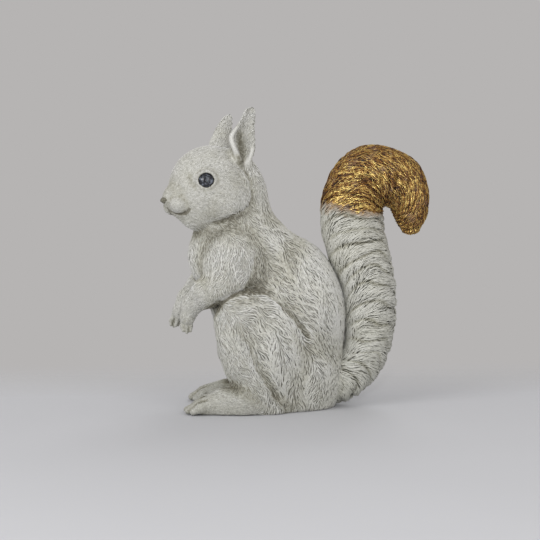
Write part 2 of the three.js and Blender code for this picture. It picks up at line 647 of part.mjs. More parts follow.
for (const [name, side] of [['left', LEFT], ['right', RIGHT]]) {
  add(name + '_eye', eyeball(side, EYE_RADIUS), darkGloss);
  add(name + '_ear', cut(ear(side), headTool, trunkTool));

  const foot = skin(footForm(side), footSpine(side), FOOT_DETAIL);
  const toes = TOES.map((toe) => skin(toeForm(side, toe), toeSpine(side, toe), TOE_DETAIL));
  const footTool = clearance(footForm(side), footSpine(side), FOOT_DETAIL);
  add(name + '_hind_foot', cut(union(foot, ...toes), trunkTool, underFloor));

  const thigh = skin(thighForm(side), thighSpine(side), THIGH_DETAIL);
  const thighTool = clearance(thighForm(side), thighSpine(side), THIGH_DETAIL);
  add(name + '_thigh', cut(thigh, trunkTool, footTool, underFloor));

  const shank = skin(shankForm(side), shankSpine(side), SHANK_DETAIL);
  add(name + '_shank', cut(shank, trunkTool, thighTool, footTool));

  const upper = skin(upperArmForm(side), upperArmSpine(side), UPPER_ARM_DETAIL);
  const upperTool = clearance(upperArmForm(side), upperArmSpine(side), UPPER_ARM_DETAIL);
  add(name + '_upper_arm', cut(upper, trunkTool, thighTool));

  const forearm = skin(forearmForm(side), forearmSpine(side), FOREARM_DETAIL);
  const forearmTool = clearance(forearmForm(side), forearmSpine(side), FOREARM_DETAIL);
  add(name + '_forearm', cut(forearm, trunkTool, upperTool, thighTool));

  const palm = skin(palmForm(side), palmSpine(side), PALM_DETAIL);
  const fingers = FINGERS.map((finger) => (
    skin(fingerForm(side, finger), fingerSpine(side, finger), FINGER_DETAIL)
  ));
  add(name + '_front_paw', cut(union(palm, ...fingers), forearmTool));
}

// The tail, parted into its lengths from the root to the tip.
const wholeTail = union(tailCore(), ...tailLocks());
const lengths = cut(wholeTail, trunkTool, underFloor, ...TAIL_CUTS.map(tailSlab)).decompose();
const ends = [0.12, ...TAIL_CUTS, 1];
['tail_root', 'tail', 'tail_curl', 'tail_tip'].forEach((name, i) => {
  const { middle } = tailSection((ends[i] + ends[i + 1]) / 2);
  const probe = solid(new THREE.BoxGeometry(1, 1, 1).translate(...middle.toArray()));
  add(name, lengths.find((piece) => piece.intersect(probe).volume() > 0), i < 2 ? resin : gilt);
});

export default squirrel;
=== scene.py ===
"""A cast resin squirrel ornament: carved coat, glossy eyes and a gilded tail tip.

Lengths are worked out in millimetres and put into the meshes in metres. +Z is up, the nose points along -X
and the animal's left side faces -Y, as in the solids.

The tail, its strands, the ridges of the coat, the eyes and the nose are surfaces of two parameters. The
body isn't one: its legs, ears, fingers and toes branch off, and no single sheet covers a branching form
without seams. So its skin is worked out as a field, the distance of every place on a grid from the joined
forms, and a net of faces is laid where the field passes the skin's depth.
"""

import math

import bpy
import numpy as np
from mathutils import Matrix, Vector


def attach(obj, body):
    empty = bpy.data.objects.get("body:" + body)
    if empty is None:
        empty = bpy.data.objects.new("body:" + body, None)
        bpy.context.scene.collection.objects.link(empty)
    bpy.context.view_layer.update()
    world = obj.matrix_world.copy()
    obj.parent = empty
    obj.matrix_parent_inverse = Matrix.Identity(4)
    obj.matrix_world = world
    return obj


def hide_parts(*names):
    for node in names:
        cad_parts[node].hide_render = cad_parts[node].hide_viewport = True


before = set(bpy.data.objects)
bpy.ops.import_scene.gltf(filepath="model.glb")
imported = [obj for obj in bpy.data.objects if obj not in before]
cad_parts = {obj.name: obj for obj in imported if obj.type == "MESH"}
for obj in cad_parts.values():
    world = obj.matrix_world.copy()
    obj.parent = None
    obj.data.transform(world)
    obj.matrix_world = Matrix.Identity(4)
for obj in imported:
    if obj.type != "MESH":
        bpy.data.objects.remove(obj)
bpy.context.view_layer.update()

MM = 0.001
LEFT, RIGHT = -1, 1

# ---- camera ----

CAMERA_AZIMUTH = math.radians(-3)
CAMERA_ELEVATION = math.radians(6)
CAMERA_DISTANCE = 1.4
CAMERA_TARGET = Vector((-0.0195, 0, 0.1076))
SEEN_WIDTH = 0.4212  # of what the camera takes in, at the target
SENSOR_WIDTH = 36


def add_camera():
    back = Vector((
        math.sin(CAMERA_AZIMUTH) * math.cos(CAMERA_ELEVATION),
        -math.cos(CAMERA_AZIMUTH) * math.cos(CAMERA_ELEVATION),
        math.sin(CAMERA_ELEVATION),
    ))
    data = bpy.data.cameras.new("camera")
    data.sensor_width = SENSOR_WIDTH
    data.lens = SENSOR_WIDTH * CAMERA_DISTANCE / SEEN_WIDTH
    camera = bpy.data.objects.new("camera", data)
    camera.location = CAMERA_TARGET + back * CAMERA_DISTANCE
    camera.rotation_euler = back.to_track_quat("Z", "Y").to_euler()
    bpy.context.scene.collection.objects.link(camera)
    bpy.context.scene.camera = camera


add_camera()

# ---- forms ----


class Form:
    """A distance as a function of x, y and z, negative inside, and the corners of the box it fills."""

    def __init__(self, distance, low, high):
        self.distance, self.low, self.high = distance, np.array(low, float), np.array(high, float)


def soft_min(a, b, softness):
    """The smaller of two distances, with a fillet of this softness where they are alike."""
    h = np.maximum(softness - np.abs(a - b), 0) / softness
    return np.minimum(a, b) - h * h * softness / 4


def soft_max(a, b, softness):
    """The larger of two distances, with the same fillet."""
    return -soft_min(-a, -b, softness)


def ball(centre, radii, lean=0):
    """An ellipsoid that leans by some degrees about Y: k0 (k0 - 1) / k1, where k0 is the length of the
    point over the radii and k1 its length over their squares."""
    (cx, cy, cz), (rx, ry, rz) = centre, radii
    c, s = math.cos(math.radians(lean)), math.sin(math.radians(lean))

    def distance(x, y, z):
        u = (c * (x - cx) + s * (z - cz)) / rx
        v = (y - cy) / ry
        w = (c * (z - cz) - s * (x - cx)) / rz
        k0 = np.sqrt(u * u + v * v + w * w)
        k1 = np.sqrt((u / rx) ** 2 + (v / ry) ** 2 + (w / rz) ** 2)
        return k0 * (k0 - 1) / (k1 + 1e-9)

    wide = max(rx, rz)
    return Form(distance, [cx - wide, cy - ry, cz - wide], [cx + wide, cy + ry, cz + wide])


def limb(points, radii, softness=2):
    """A chain of tapered round lengths: the distance from each line less a radius that runs along it."""
    points = np.array(points, float)

    def length(a, b, ra, rb):
        ab = b - a

        def distance(x, y, z):
            h = ((x - a[0]) * ab[0] + (y - a[1]) * ab[1] + (z - a[2]) * ab[2]) / (ab @ ab)
            h = np.clip(h, 0, 1)
            dx, dy, dz = x - a[0] - h * ab[0], y - a[1] - h * ab[1], z - a[2] - h * ab[2]
            return np.sqrt(dx * dx + dy * dy + dz * dz) - ra - h * (rb - ra)

        r = max(ra, rb)
        return Form(distance, np.minimum(a, b) - r, np.maximum(a, b) + r)

    return blend(softness, *map(length, points[:-1], points[1:], radii[:-1], radii[1:]))


def blend(softness, *forms):
    """One form out of several, with fillets between them."""

    def distance(x, y, z):
        d = forms[0].distance(x, y, z)
        for form in forms[1:]:
            d = soft_min(d, form.distance(x, y, z), softness)
        return d

    return Form(distance, np.min([f.low for f in forms], 0), np.max([f.high for f in forms], 0))


# ---- the body's forms ----

HAUNCH_Y = 25  # sideways to the middle of a thigh
SHOULDER_Y = 25
FOOT_Y = 31
FAR_PAW_LEAD = 6  # the right forepaw is held this much further forward
FAR_SHIN_LEAD = 5  # and the right shin this much
FAR_FOOT_BACK = 4  # its foot stands this much further back
FAR_INSTEP_LOW = 3  # and its instep is this much lower
FOOT_BALL = -70  # where the toes begin

trunk = blend(
    13,
    ball([-2.5, 0, 28], [41, 32, 48]),  # rump
    ball([12.5, 0, 87], [24, 31, 46], 17.5),  # back
    ball([-5, 0, 80], [32, 29.5, 42], 17),  # flanks
    ball([-29, 0, 84], [38, 27, 31]),  # belly
    ball([-41, 0, 119], [42.5, 26, 36]),  # chest
    ball([-49.5, 0, 159.5], [29, 18, 43], 5),  # neck
)


def thigh(side):
    return blend(
        7,
        ball([-27.5, side * HAUNCH_Y, 49], [32.5, 17, 46], 13),
        ball([-45.5, side * (HAUNCH_Y + 3), 72], [18, 14, 21]),
    )


def shank(side):
    shin = -42 - (FAR_SHIN_LEAD if side == RIGHT else 0)
    return limb(
        [[-48, side * 31, 60], [shin, side * 33.5, 39], [-29, side * 34, 17]], [14, 12.5, 10]
    )


def on_foot(side, x, outward, z):
    """A place on a foot, outward from its middle line."""
    return [x + (FAR_FOOT_BACK if side == RIGHT else 0), side * (FOOT_Y + outward), z]


def foot(side):
    low = FAR_INSTEP_LOW if side == RIGHT else 0
    return limb(
        [on_foot(side, -18, -1, 6), on_foot(side, -42, 1, 9.3 - low),
         on_foot(side, -57, 0, 8 - low), on_foot(side, FOOT_BALL, 0, 6 - low / 2)],
        [9.5, 12.7, 11.5, 9],
    )


def foot_middle(side):
    return on_foot(side, 0, 0, 0)


TOES = [(-8.6, 12), (-3, 15), (2.6, 14.2), (7.6, 10.5)]  # aside and length, from the inner one out
TOE_RADIUS = 3


def toe(side, aside, length):
    return limb(
        [on_foot(side, FOOT_BALL + 8, 0.7 * aside, 9.5),
         on_foot(side, FOOT_BALL - 0.45 * length, aside, 6.2),
         on_foot(side, FOOT_BALL - length, aside, 3)],
        [TOE_RADIUS + 2.2, TOE_RADIUS + 1.2, TOE_RADIUS],
    )


def heel(side):
    return limb([[-24, side * 28, 4], [0, side * 20, 5]], [8, 8])


def upper_arm(side):
    return blend(
        6,
        ball([-51.5, side * SHOULDER_Y, 114], [20, 13, 25], -8),
        limb([[-49, side * SHOULDER_Y, 108], [-57, side * (SHOULDER_Y + 1), 98.5]], [12.5, 12]),
    )


def lead(side):
    return -FAR_PAW_LEAD if side == RIGHT else 0


def wrist(side):
    return [-84.3 + lead(side), side * 17, 73]


def forearm(side):
    return limb(
        [[-56 + lead(side) / 3, side * 26, 98], [-70 + lead(side) / 2, side * 24, 92.5],
         [-79.7 + 0.7 * lead(side), side * 20, 84], wrist(side)],
        [12.2, 11.6, 8, 6],
    )


# Aside, back and length.
FINGERS = [(0.4, -3.7, 4.7), (1.3, -0.3, 6.1), (0.2, 3, 4.9), (-2.6, 0.8, 5.4)]
FINGER_RADIUS = 1.95


def from_wrist(side, back, outward, down):
    """A place by the wrist; the right paw hangs a little forward."""
    x, y, z = wrist(side)
    return [x + back - (0.35 * down if side == RIGHT else 0), y + side * outward, z - down]


def palm(side):
    return ball(from_wrist(side, 0, 0, 0.8), [5.2, 4.9, 5.2])


def finger(side, aside, back, length):
    return limb(
        [from_wrist(side, 0.7 * back, 0.9 * aside, 1),
         from_wrist(side, back - 0.3, aside, 7),
         from_wrist(side, 0.8 * back, aside, 7.5 + length - FINGER_RADIUS)],
        [FINGER_RADIUS + 0.7, FINGER_RADIUS, FINGER_RADIUS - 0.2],
        1,
    )


# ---- the head, in a frame of its own ----

HEAD_CENTRE = Vector((-61, 0, 171))
HEAD_TURN = math.radians(20)
HEAD_LEAN = math.radians(-9.5)
HEAD_POSE = (Matrix.Translation(HEAD_CENTRE) @ Matrix.Rotation(HEAD_TURN, 4, "Z")
             @ Matrix.Rotation(HEAD_LEAN, 4, "X"))
TO_HEAD = np.array(HEAD_POSE.inverted())
FROM_HEAD = np.array(HEAD_POSE)


def moved(matrix, x, y, z):
    """The x, y and z that a matrix takes these to, in shapes that broadcast."""
    return [row[0] * x + row[1] * y + row[2] * z + row[3] for row in matrix[:3]]


def on_head(points):
    """Places given in the head's frame, moved to where the head is."""
    return points @ FROM_HEAD[:3, :3].T + FROM_HEAD[:3, 3]


def of_head(form):
    """A form given in the head's frame, moved to where the head is."""

    def distance(x, y, z):
        return form.distance(*moved(TO_HEAD, x, y, z))

    corners = on_head(np.array(np.meshgrid(*zip(form.low, form.high))).reshape(3, -1).T)
    return Form(distance, corners.min(0), corners.max(0))


skull = blend(
    7,
    ball([-5, 0, 2.5], [31.5, 26.5, 31.5]),  # brain case
    ball([-16.5, 0, -3.5], [20.5, 17, 28.5]),  # face
    ball([6, 14.5, -10], [18.5, 13, 15.5]),  # cheeks
    ball([6, -14.5, -10], [18.5, 13, 15.5]),
    ball([-34.5, 0, -6], [10.5, 9, 9]),  # muzzle
    ball([-26, 0, -13.5], [13.5, 10, 7]),  # chin
)
WHISKER_PAD = ([-34.4, 6.7, -11.5], [7.9, 7.3, 7.6])
EYE_RADIUS = 7.6
EYE_CENTRE = [-15.4, 18.8, 4.3]
EYE_FACING = np.array([-0.35, 1, 0.1]) / np.linalg.norm([-0.35, 1, 0.1])
LID_RING = 6.9  # radius of the middle of the lids' roll
LID_ROLL = 1.7  # radius of the roll itself
LID_OUT = 4.3  # how far its middle is out from the middle of the eye
LID_OVER = 0.5  # how much closer, thicker and further out the roll is over the eye
LID_UNDER = 1.2  # and how much closer it is under the eye
MOUTH = [
    [-28.2, 13.2, -16.2], [-29.1, 11.9, -17.5], [-30.5, 10.1, -18.7], [-32.6, 7.8, -19.3],
    [-35.1, 5.9, -19], [-37.5, 3.6, -18], [-39.9, 1, -16.2], [-41.4, 0, -14],
]


def mirrored(point, side):
    """A place given for the right side, on this side."""
    return [point[0], side * point[1], point[2]]


def lids(side):
    """A ring of round section about the line that the eye faces along, thicker over the eye."""
    centre = np.array(mirrored(EYE_CENTRE, side))
    facing = np.array(mirrored(EYE_FACING, side))

    def distance(x, y, z):
        dx, dy, dz = x - centre[0], y - centre[1], z - centre[2]
        out = dx * facing[0] + dy * facing[1] + dz * facing[2]
        round_ = np.sqrt(np.maximum(dx * dx + dy * dy + dz * dz - out * out, 1e-6))
        upper = np.clip(dz / (round_ + 1e-6), -1, 1)
        over, under = LID_OVER * np.maximum(upper, 0), LID_UNDER * np.maximum(-upper, 0)
        return np.hypot(round_ - (LID_RING - over - under), out - LID_OUT - over) - LID_ROLL - over

    return Form(distance, centre - 10, centre + 10)


EAR_ROOT = [15, 21.5, 11]
EAR_HEIGHT = 50.5
EAR_WALL = 3.6
# Up the ear as a share of its height: how far behind EAR_ROOT its front edge passes on the left and on
# the right, and its rear edge.
EAR_EDGES = np.array([
    (0, -3.2, -1, 5.5), (0.15, -4.6, -4, 7), (0.24, -6.8, -5.8, 8.8), (0.34, -9, -6.8, 10.6),
    (0.44, -10.7, -6.8, 11.1), (0.5, -11, -6.5, 11.2), (0.55, -10.4, -6.1, 11.3), (0.6, -8.6, -5.1, 11.4),
    (0.66, -5.6, -3.5, 11.7), (0.72, -2.6, -2, 12), (0.78, 0, -0.4, 12.5), (0.85, 1.9, 2, 13.1),
    (0.92, 4.1, 5, 13.4), (0.96, 5.8, 7, 13.2), (1, 8.8, 9.5, 12.2),
])
EAR_SUNK = 9  # how deep the ear's foot lies in the head
EAR_SPLAY = -2  # how far its tip leans out
FAR_EAR_LEAD = 3.5  # the right ear stands this much further forward


def smooth(value, low, high):
    """0 below low, 1 above high, and an S-shaped way between them."""
    step = np.clip((value - low) / (high - low), 0, 1)
    return step * step * (3 - 2 * step)


def ear(side):
    """A leaf rolled into a cup that opens outward. At each height its section is an arc of a circle,
    which reaches past a quarter turn in front and just short of one behind, and less of it towards the
    tip. Its distance is taken from that arc, or past the rims from the arc's ends, where it is thickened
    to a bead."""
    middle_x = EAR_ROOT[0] - (FAR_EAR_LEAD if side == RIGHT else 0)

    def distance(x, y, z):
        v = np.clip((z - EAR_ROOT[2]) / EAR_HEIGHT, 0, 1)
        wall = EAR_WALL / 2 * (1 - 0.15 * v)
        columns = (1 if side == LEFT else 2, 3)
        front_x, rear_x = (np.interp(v, EAR_EDGES[:, 0], EAR_EDGES[:, k]) for k in columns)
        unroll = smooth(v, 0.2, 0.85)
        front, rear = np.radians(106 - 50 * unroll), np.radians(88 - 50 * unroll)
        reach_front, reach_rear = (np.sin(np.minimum(roll, math.pi / 2)) for roll in (front, rear))
        arc = (rear_x - front_x - 2 * wall) / (reach_front + reach_rear)
        sunk = EAR_SUNK * np.maximum(1 - v / 0.3, 0) ** 2
        dx = x - (middle_x + front_x + wall + arc * reach_front)
        dw = side * y - (EAR_ROOT[1] + EAR_SPLAY * v - sunk) - arc * np.cos(rear)
        turn = np.arctan2(dx, -dw)
        front_rim = np.hypot(dx + arc * np.sin(front), dw + arc * np.cos(front))
        rear_rim = np.hypot(dx - arc * np.sin(rear), dw + arc * np.cos(rear))
        leaf = np.where((turn > rear) | (turn < -front), np.minimum(front_rim, rear_rim),
                        np.abs(np.hypot(dx, dw) - arc)) - wall
        bead = np.minimum(front_rim - 2.6 + 0.9 * smooth(v, 0.55, 0.8), rear_rim - 2.3 + 0.6 * v)
        d = soft_max(soft_min(leaf, bead, 1.2), z - EAR_ROOT[2] - EAR_HEIGHT, 3)
        return soft_max(d, EAR_ROOT[2] - 4 - z, 2)

    low_y, high_y = sorted([side * 2, side * 40])
    foot_z = EAR_ROOT[2]
    return Form(distance, [middle_x - 16, low_y, foot_z - 6], [middle_x + 20, high_y, foot_z + 54])


# ---- the field: the whole body's distance on a grid, and what is read from it ----

# Along x, y and z, from where to where the grid has which step: it is finer at the head, paws and toes.
GRID = tuple(
    np.concatenate([np.arange(low, high - 0.01, step) for low, high, step in runs]) for runs in (
        ((-110, -58, 0.7), (-58, -38, 0.95), (-38, 43, 1.6)),
        ((-50, -29, 1.3), (-29, -16, 0.75), (-16, 16, 1.4), (16, 29, 0.75), (29, 50.5, 1.3)),
        ((-3, 54, 1.5), (54, 76, 0.85), (76, 128, 1.6), (128, 152, 1.15), (152, 190, 0.7),
         (190, 238, 0.95)),
    )
)
MARGIN = 11  # how far round a form its distance is worked out
FAR_OUT = 40  # the field's value where there is no form
SKIN_DEPTH = 0.45  # of the skin under the crests of the carved coat
SLOPE_STEP = 0.8  # over which the field's slope is taken


def block(form):
    """The part of the grid round a form, as slices, and its coordinates in shapes that broadcast."""
    ends = [np.searchsorted(axis, [low - MARGIN, high + MARGIN])
            for axis, low, high in zip(GRID, form.low, form.high)]
    slices = tuple(slice(a, b) for a, b in ends)
    x, y, z = (axis[s].astype(np.float32) for axis, s in zip(GRID, slices))
    return slices, (x[:, None, None], y[None, :, None], z[None, None, :])


def join(field, softness, *forms):
    """Adds forms to the field, with fillets of this softness."""
    for form in forms:
        slices, xyz = block(form)
        field[slices] = soft_min(field[slices], form.distance(*xyz), softness)


def carve(field, softness, *forms):
    """Takes forms out of the field, and softens the edges that this leaves."""
    for form in forms:
        slices, xyz = block(form)
        field[slices] = soft_max(field[slices], -form.distance(*xyz), softness)


# Grooves between the fingers, from the wrist, and between the toes, from the foot's middle, darkened with
# wash and painted shade: places, the groove's width where it is painted and the strength of its paint.
FINGER_LINES = [
    ([[-2.2, 5.4, -1.5], [-2.3, 3.6, -6], [-2, 2.2, -11.5]], 0.8, 0.8),
    ([[1.5, 5.6, -2.5], [1.2, 3.4, -7], [1, 2.2, -11.5]], 0.8, 0.6),
]
TOE_LINES = [
    ([[-84.5, 5.1, 3], [-78.5, 6.5, 8], [-70, 7.2, 12.3]], 0.8, 0.7),
    ([[-86.5, -0.2, 3.5], [-79, 0.4, 9.8], [-70, 1.4, 14.6]], 0.8, 0.7),
    ([[-85.5, -5.8, 3.5], [-79, -5.2, 9], [-70, -4.6, 13.5]], 0.8, 0.6),
]

# Creases as seen from the side: a line of x, z places, a depth and a width. The first ones lie behind
# the arm, over the thigh and behind the shank, and the others, in the head's frame, behind the cheek and
# in front of the eye.
CREASES = [
    ([(-33, 121), (-36, 106), (-40, 97), (-51, 91), (-64, 85.5)], 1, 2.2),
    ([(-62, 80), (-57.5, 87), (-50, 93), (-37.3, 96.6), (-26, 92.8), (-14.8, 85.6), (-5.2, 77),
      (2.8, 67), (8, 58)], 1.9, 2.1),
    ([(-46, 68), (-41, 62), (-37, 54), (-32.4, 42), (-26, 27.4), (-17, 13), (-11, 4)], 1.4, 2.2),
]
HEAD_CREASES = [
    ([(10.5, 16.7), (17.7, 9.9), (20.8, 2.6), (20.3, -6), (17.8, -14.5), (12.3, -18.9), (-0.7, -25.1),
      (-14.6, -29.8)], 1.6, 1.5),
    ([(-27, 8.5), (-26.7, 4), (-24.6, 0)], 0.9, 1.8),
]


def crease(field, line, depth, width, side, to_local=np.eye(4)):
    """A groove pressed into one side along a line of x, z places: the depth times exp(-(d / width)^2),
    where d is how far a point is from the line when both are seen from the side. It fades out towards
    the middle of the body."""
    u, v, w = moved(to_local, *np.meshgrid(*GRID, indexing="ij", sparse=True))
    near = np.inf
    for (au, aw), (bu, bw) in zip(line[:-1], line[1:]):
        du, dw = bu - au, bw - aw
        share = np.clip(((u - au) * du + (w - aw) * dw) / (du ** 2 + dw ** 2), 0, 1)
        near = np.minimum(near, (u - au - share * du) ** 2 + (w - aw - share * dw) ** 2)
    field += (depth * np.exp(-near / width ** 2) * smooth(side * v, 6, 12)).astype(np.float32)


def body_field():
    """All forms of the body joined, grooved and cut flat at the floor."""
    field = np.full([len(axis) for axis in GRID], FAR_OUT, np.float32)
    join(field, 1, trunk)
    join(field, 3, of_head(skull))
    for side in (LEFT, RIGHT):
        pad = ball(mirrored(WHISKER_PAD[0], side), WHISKER_PAD[1])
        join(field, 1.5, of_head(pad))
        join(field, 1.5, of_head(lids(side)))
        join(field, 6, of_head(ear(side)))
        join(field, 5.5, thigh(side))
        join(field, 3, shank(side))
        join(field, 6.5, foot(side), heel(side))
        join(field, 2, *(toe(side, *shape) for shape in TOES))
        join(field, 11, upper_arm(side))
        join(field, 5, forearm(side))
        join(field, 2.5, palm(side))
        join(field, 0.5, *(finger(side, *shape) for shape in FINGERS))
        for lines, place in ((FINGER_LINES, wrist(side)), (TOE_LINES, foot_middle(side))):
            for points, _, _ in lines:
                line = [np.add(place, mirrored(point, side)) for point in points]
                carve(field, 0.5, limb(line, [0.4, 0.6, 0.5], 0.5))
        carve(field, 0.5, of_head(ball(mirrored(EYE_CENTRE, side), [EYE_RADIUS - 0.4] * 3)))
        line = [mirrored(point, side) for point in MOUTH]
        carve(field, 0.6, of_head(limb(line, [0.3, 0.5, 0.7, 0.7, 0.7, 0.6, 0.4, 0.3], 0.5)))
        for line, depth, width in CREASES:
            crease(field, line, depth, width, side)
        for line, depth, width in HEAD_CREASES:
            crease(field, line, depth, width, side, TO_HEAD)
    return np.maximum(field, -GRID[2].astype(np.float32))


FIELD = body_field()


def sample(points):
    """The field at these points, by three linear steps between the grid's values."""
    index, share = [], []
    for axis, value in zip(GRID, points.T):
        i = np.clip(np.searchsorted(axis, value) - 1, 0, len(axis) - 2)
        index.append(i)
        share.append(np.clip((value - axis[i]) / (axis[i + 1] - axis[i]), 0, 1))
    (i, j, k), (a, b, c) = index, share
    total = 0
    for di, wa in ((0, 1 - a), (1, a)):
        for dj, wb in ((0, 1 - b), (1, b)):
            for dk, wc in ((0, 1 - c), (1, c)):
                total = total + FIELD[i + di, j + dj, k + dk] * wa * wb * wc
    return total


def unit(vectors):
    return vectors / np.maximum(np.linalg.norm(vectors, axis=-1, keepdims=True), 1e-9)


def upright(x, z):
    """Vectors in the plane of X and Z."""
    return np.stack([x, np.zeros_like(x), z], -1)


def normal_at(points):
    """Outward directions: the field's differences over a small step along each axis."""
    steps = SLOPE_STEP * np.eye(3)
    return unit(np.stack([sample(points + step) - sample(points - step) for step in steps], -1))


def settle(points, rounds=2):
    """Points moved along the field's slope onto the skin."""
    for _ in range(rounds):
        points = points - normal_at(points) * (sample(points) + SKIN_DEPTH)[:, None]
    return points


def net(field):
    """The surface where a grid of values passes zero: one point in each cell that it crosses, the mean of
    the crossings on the cell's edges, and one four-sided face round each grid edge that it crosses."""
    inside = field < 0
    shape = np.array(field.shape) - 1
    corners = sum(
        inside[a:shape[0] + a, b:shape[1] + b, c:shape[2] + c].astype(np.int8)
        for a in (0, 1) for b in (0, 1) for c in (0, 1)
    )
    active = (corners > 0) & (corners < 8)
    cells = np.argwhere(active)
    number = np.full(active.shape, -1)
    number[active] = np.arange(len(cells))
    steps = np.eye(3, dtype=int)
    total, count = np.zeros((len(cells), 3)), np.zeros(len(cells))
    faces = []
    for axis in range(3):
        u, w = steps[(axis + 1) % 3], steps[(axis + 2) % 3]
        for offset in (0 * u, u, w, u + w):
            start = cells + offset
            end = start + steps[axis]
            a, b = field[tuple(start.T)], field[tuple(end.T)]
            crossed = (a < 0) != (b < 0)
            share = np.where(crossed, a / np.where(crossed, a - b, 1), 0)[:, None]
            from_, to = (np.stack([g[i] for g, i in zip(GRID, p.T)], -1) for p in (start, end))
            total += np.where(crossed[:, None], from_ + share * (to - from_), 0)
            count += crossed
        low, high = [slice(None)] * 3, [slice(None)] * 3
        low[axis], high[axis] = slice(0, -1), slice(1, None)
        edges = np.argwhere(inside[tuple(low)] != inside[tuple(high)])
        around = [number[tuple((edges - back).T)] for back in (0 * u, u, u + w, w)]
        quads = np.stack(around, -1)
        outward = inside[tuple(edges.T)]
        faces.append(np.where(outward[:, None], quads, quads[:, ::-1]))
    return total / count[:, None], np.concatenate(faces)


def relaxed(points, faces, rounds):
    """Points moved to the mean of the middles of the faces round them."""
    for _ in range(rounds):
        middles = points[faces].mean(1)
        share = np.bincount(faces.ravel(), minlength=len(points))
        sums = [np.bincount(faces.ravel(), np.repeat(middle, 4), len(points)) for middle in middles.T]
        points = np.stack(sums, -1) / share[:, None]
    return points


# ---- putting arrays into meshes ----


def piece(name, points, faces, material, attributes=None, uv=None):
    """A mesh in metres from points in millimetres and faces of one size, with float attributes on its
    points and a UV place for each point."""
    mesh = bpy.data.meshes.new(name)
    size = faces.shape[1]
    mesh.vertices.add(len(points))
    mesh.vertices.foreach_set("co", (points * MM).astype(np.float32).ravel())
    mesh.loops.add(faces.size)
    mesh.loops.foreach_set("vertex_index", faces.astype(np.int32).ravel())
    mesh.polygons.add(len(faces))
    mesh.polygons.foreach_set("loop_start", np.arange(0, faces.size, size, dtype=np.int32))
    mesh.polygons.foreach_set("use_smooth", np.ones(len(faces), bool))
    mesh.update()
    mesh.validate()
    for key, values in (attributes or {}).items():
        mesh.attributes.new(key, "FLOAT", "POINT").data.foreach_set("value", values.astype(np.float32))
    if uv is not None:
        layer = mesh.uv_layers.new(name="OFBake")
        layer.data.foreach_set("uv", uv[faces.ravel()].astype(np.float32).ravel())
    mesh.materials.append(material)
    made = bpy.data.objects.new(name, mesh)
    bpy.context.scene.collection.objects.link(made)
    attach(made, "root")
    return made


# ---- finishes ----


class Shader:
    """A material's node tree, built by short calls that return sockets."""

    def __init__(self, name):
        self.material = bpy.data.materials.new(name)
        self.material.use_nodes = True
        self.tree = self.material.node_tree
        self.bsdf = self.tree.nodes["Principled BSDF"]
        self.coordinates = self.tree.nodes.new("ShaderNodeTexCoord").outputs["Object"]

    def node(self, kind, **inputs):
        """A node whose inputs are given by name, with _ for a space."""
        made = self.tree.nodes.new(kind)
        for key, value in inputs.items():
            self.set(made.inputs[key.replace("_", " ")], value)
        return made

    def set(self, socket, value):
        if isinstance(value, bpy.types.NodeSocket):
            self.tree.links.new(value, socket)
        else:
            socket.default_value = value

    def attribute(self, name):
        made = self.tree.nodes.new("ShaderNodeAttribute")
        made.attribute_name = name
        return made.outputs["Fac"]

    def noise(self, scale, detail, roughness):
        made = self.node("ShaderNodeTexNoise", Vector=self.coordinates, Scale=scale, Detail=detail,
                         Roughness=roughness)
        return made.outputs["Fac"]

    def ramp(self, factor, *stops):
        made = self.tree.nodes.new("ShaderNodeValToRGB")
        self.tree.links.new(factor, made.inputs["Fac"])
        elements = made.color_ramp.elements
        while len(elements) < len(stops):
            elements.new(0.5)
        for element, (place, colour) in zip(elements, stops):
            element.position = place
            element.color = (*colour, 1) if hasattr(colour, "__len__") else (colour, colour, colour, 1)
        return made.outputs["Color"]

    def math(self, operation, a, b, clamp=False):
        made = self.tree.nodes.new("ShaderNodeMath")
        made.operation = operation
        made.use_clamp = clamp
        self.set(made.inputs[0], a)
        self.set(made.inputs[1], b)
        return made.outputs[0]

    def mix(self, factor, a, b, blend_type="MIX"):
        made = self.tree.nodes.new("ShaderNodeMix")
        made.data_type = "RGBA"
        made.blend_type = blend_type
        self.set(made.inputs[0], factor)
        self.set(made.inputs[6], a if isinstance(a, bpy.types.NodeSocket) else (*a, 1))
        self.set(made.inputs[7], b if isinstance(b, bpy.types.NodeSocket) else (*b, 1))
        return made.outputs[2]

    def times(self, a, b):
        return self.mix(1.0, a, b, "MULTIPLY")

    def bump(self, height, strength, distance):
        made = self.node("ShaderNodeBump", Height=height, Strength=strength, Distance=distance)
        self.set(self.bsdf.inputs["Normal"], made.outputs["Normal"])

    def surface(self, **inputs):
        for key, value in inputs.items():
            self.set(self.bsdf.inputs[key.replace("_", " ")], value)
        return self.material


# Colours from the crests' cream down to the grooves, whose darkest tones are the grey-green wash with
# painted shade.
CREAM = (0.74, 0.74, 0.728)
PALE = (0.585, 0.583, 0.556)
SHADOW = (0.29, 0.286, 0.252)
GROOVE = (0.1, 0.098, 0.08)


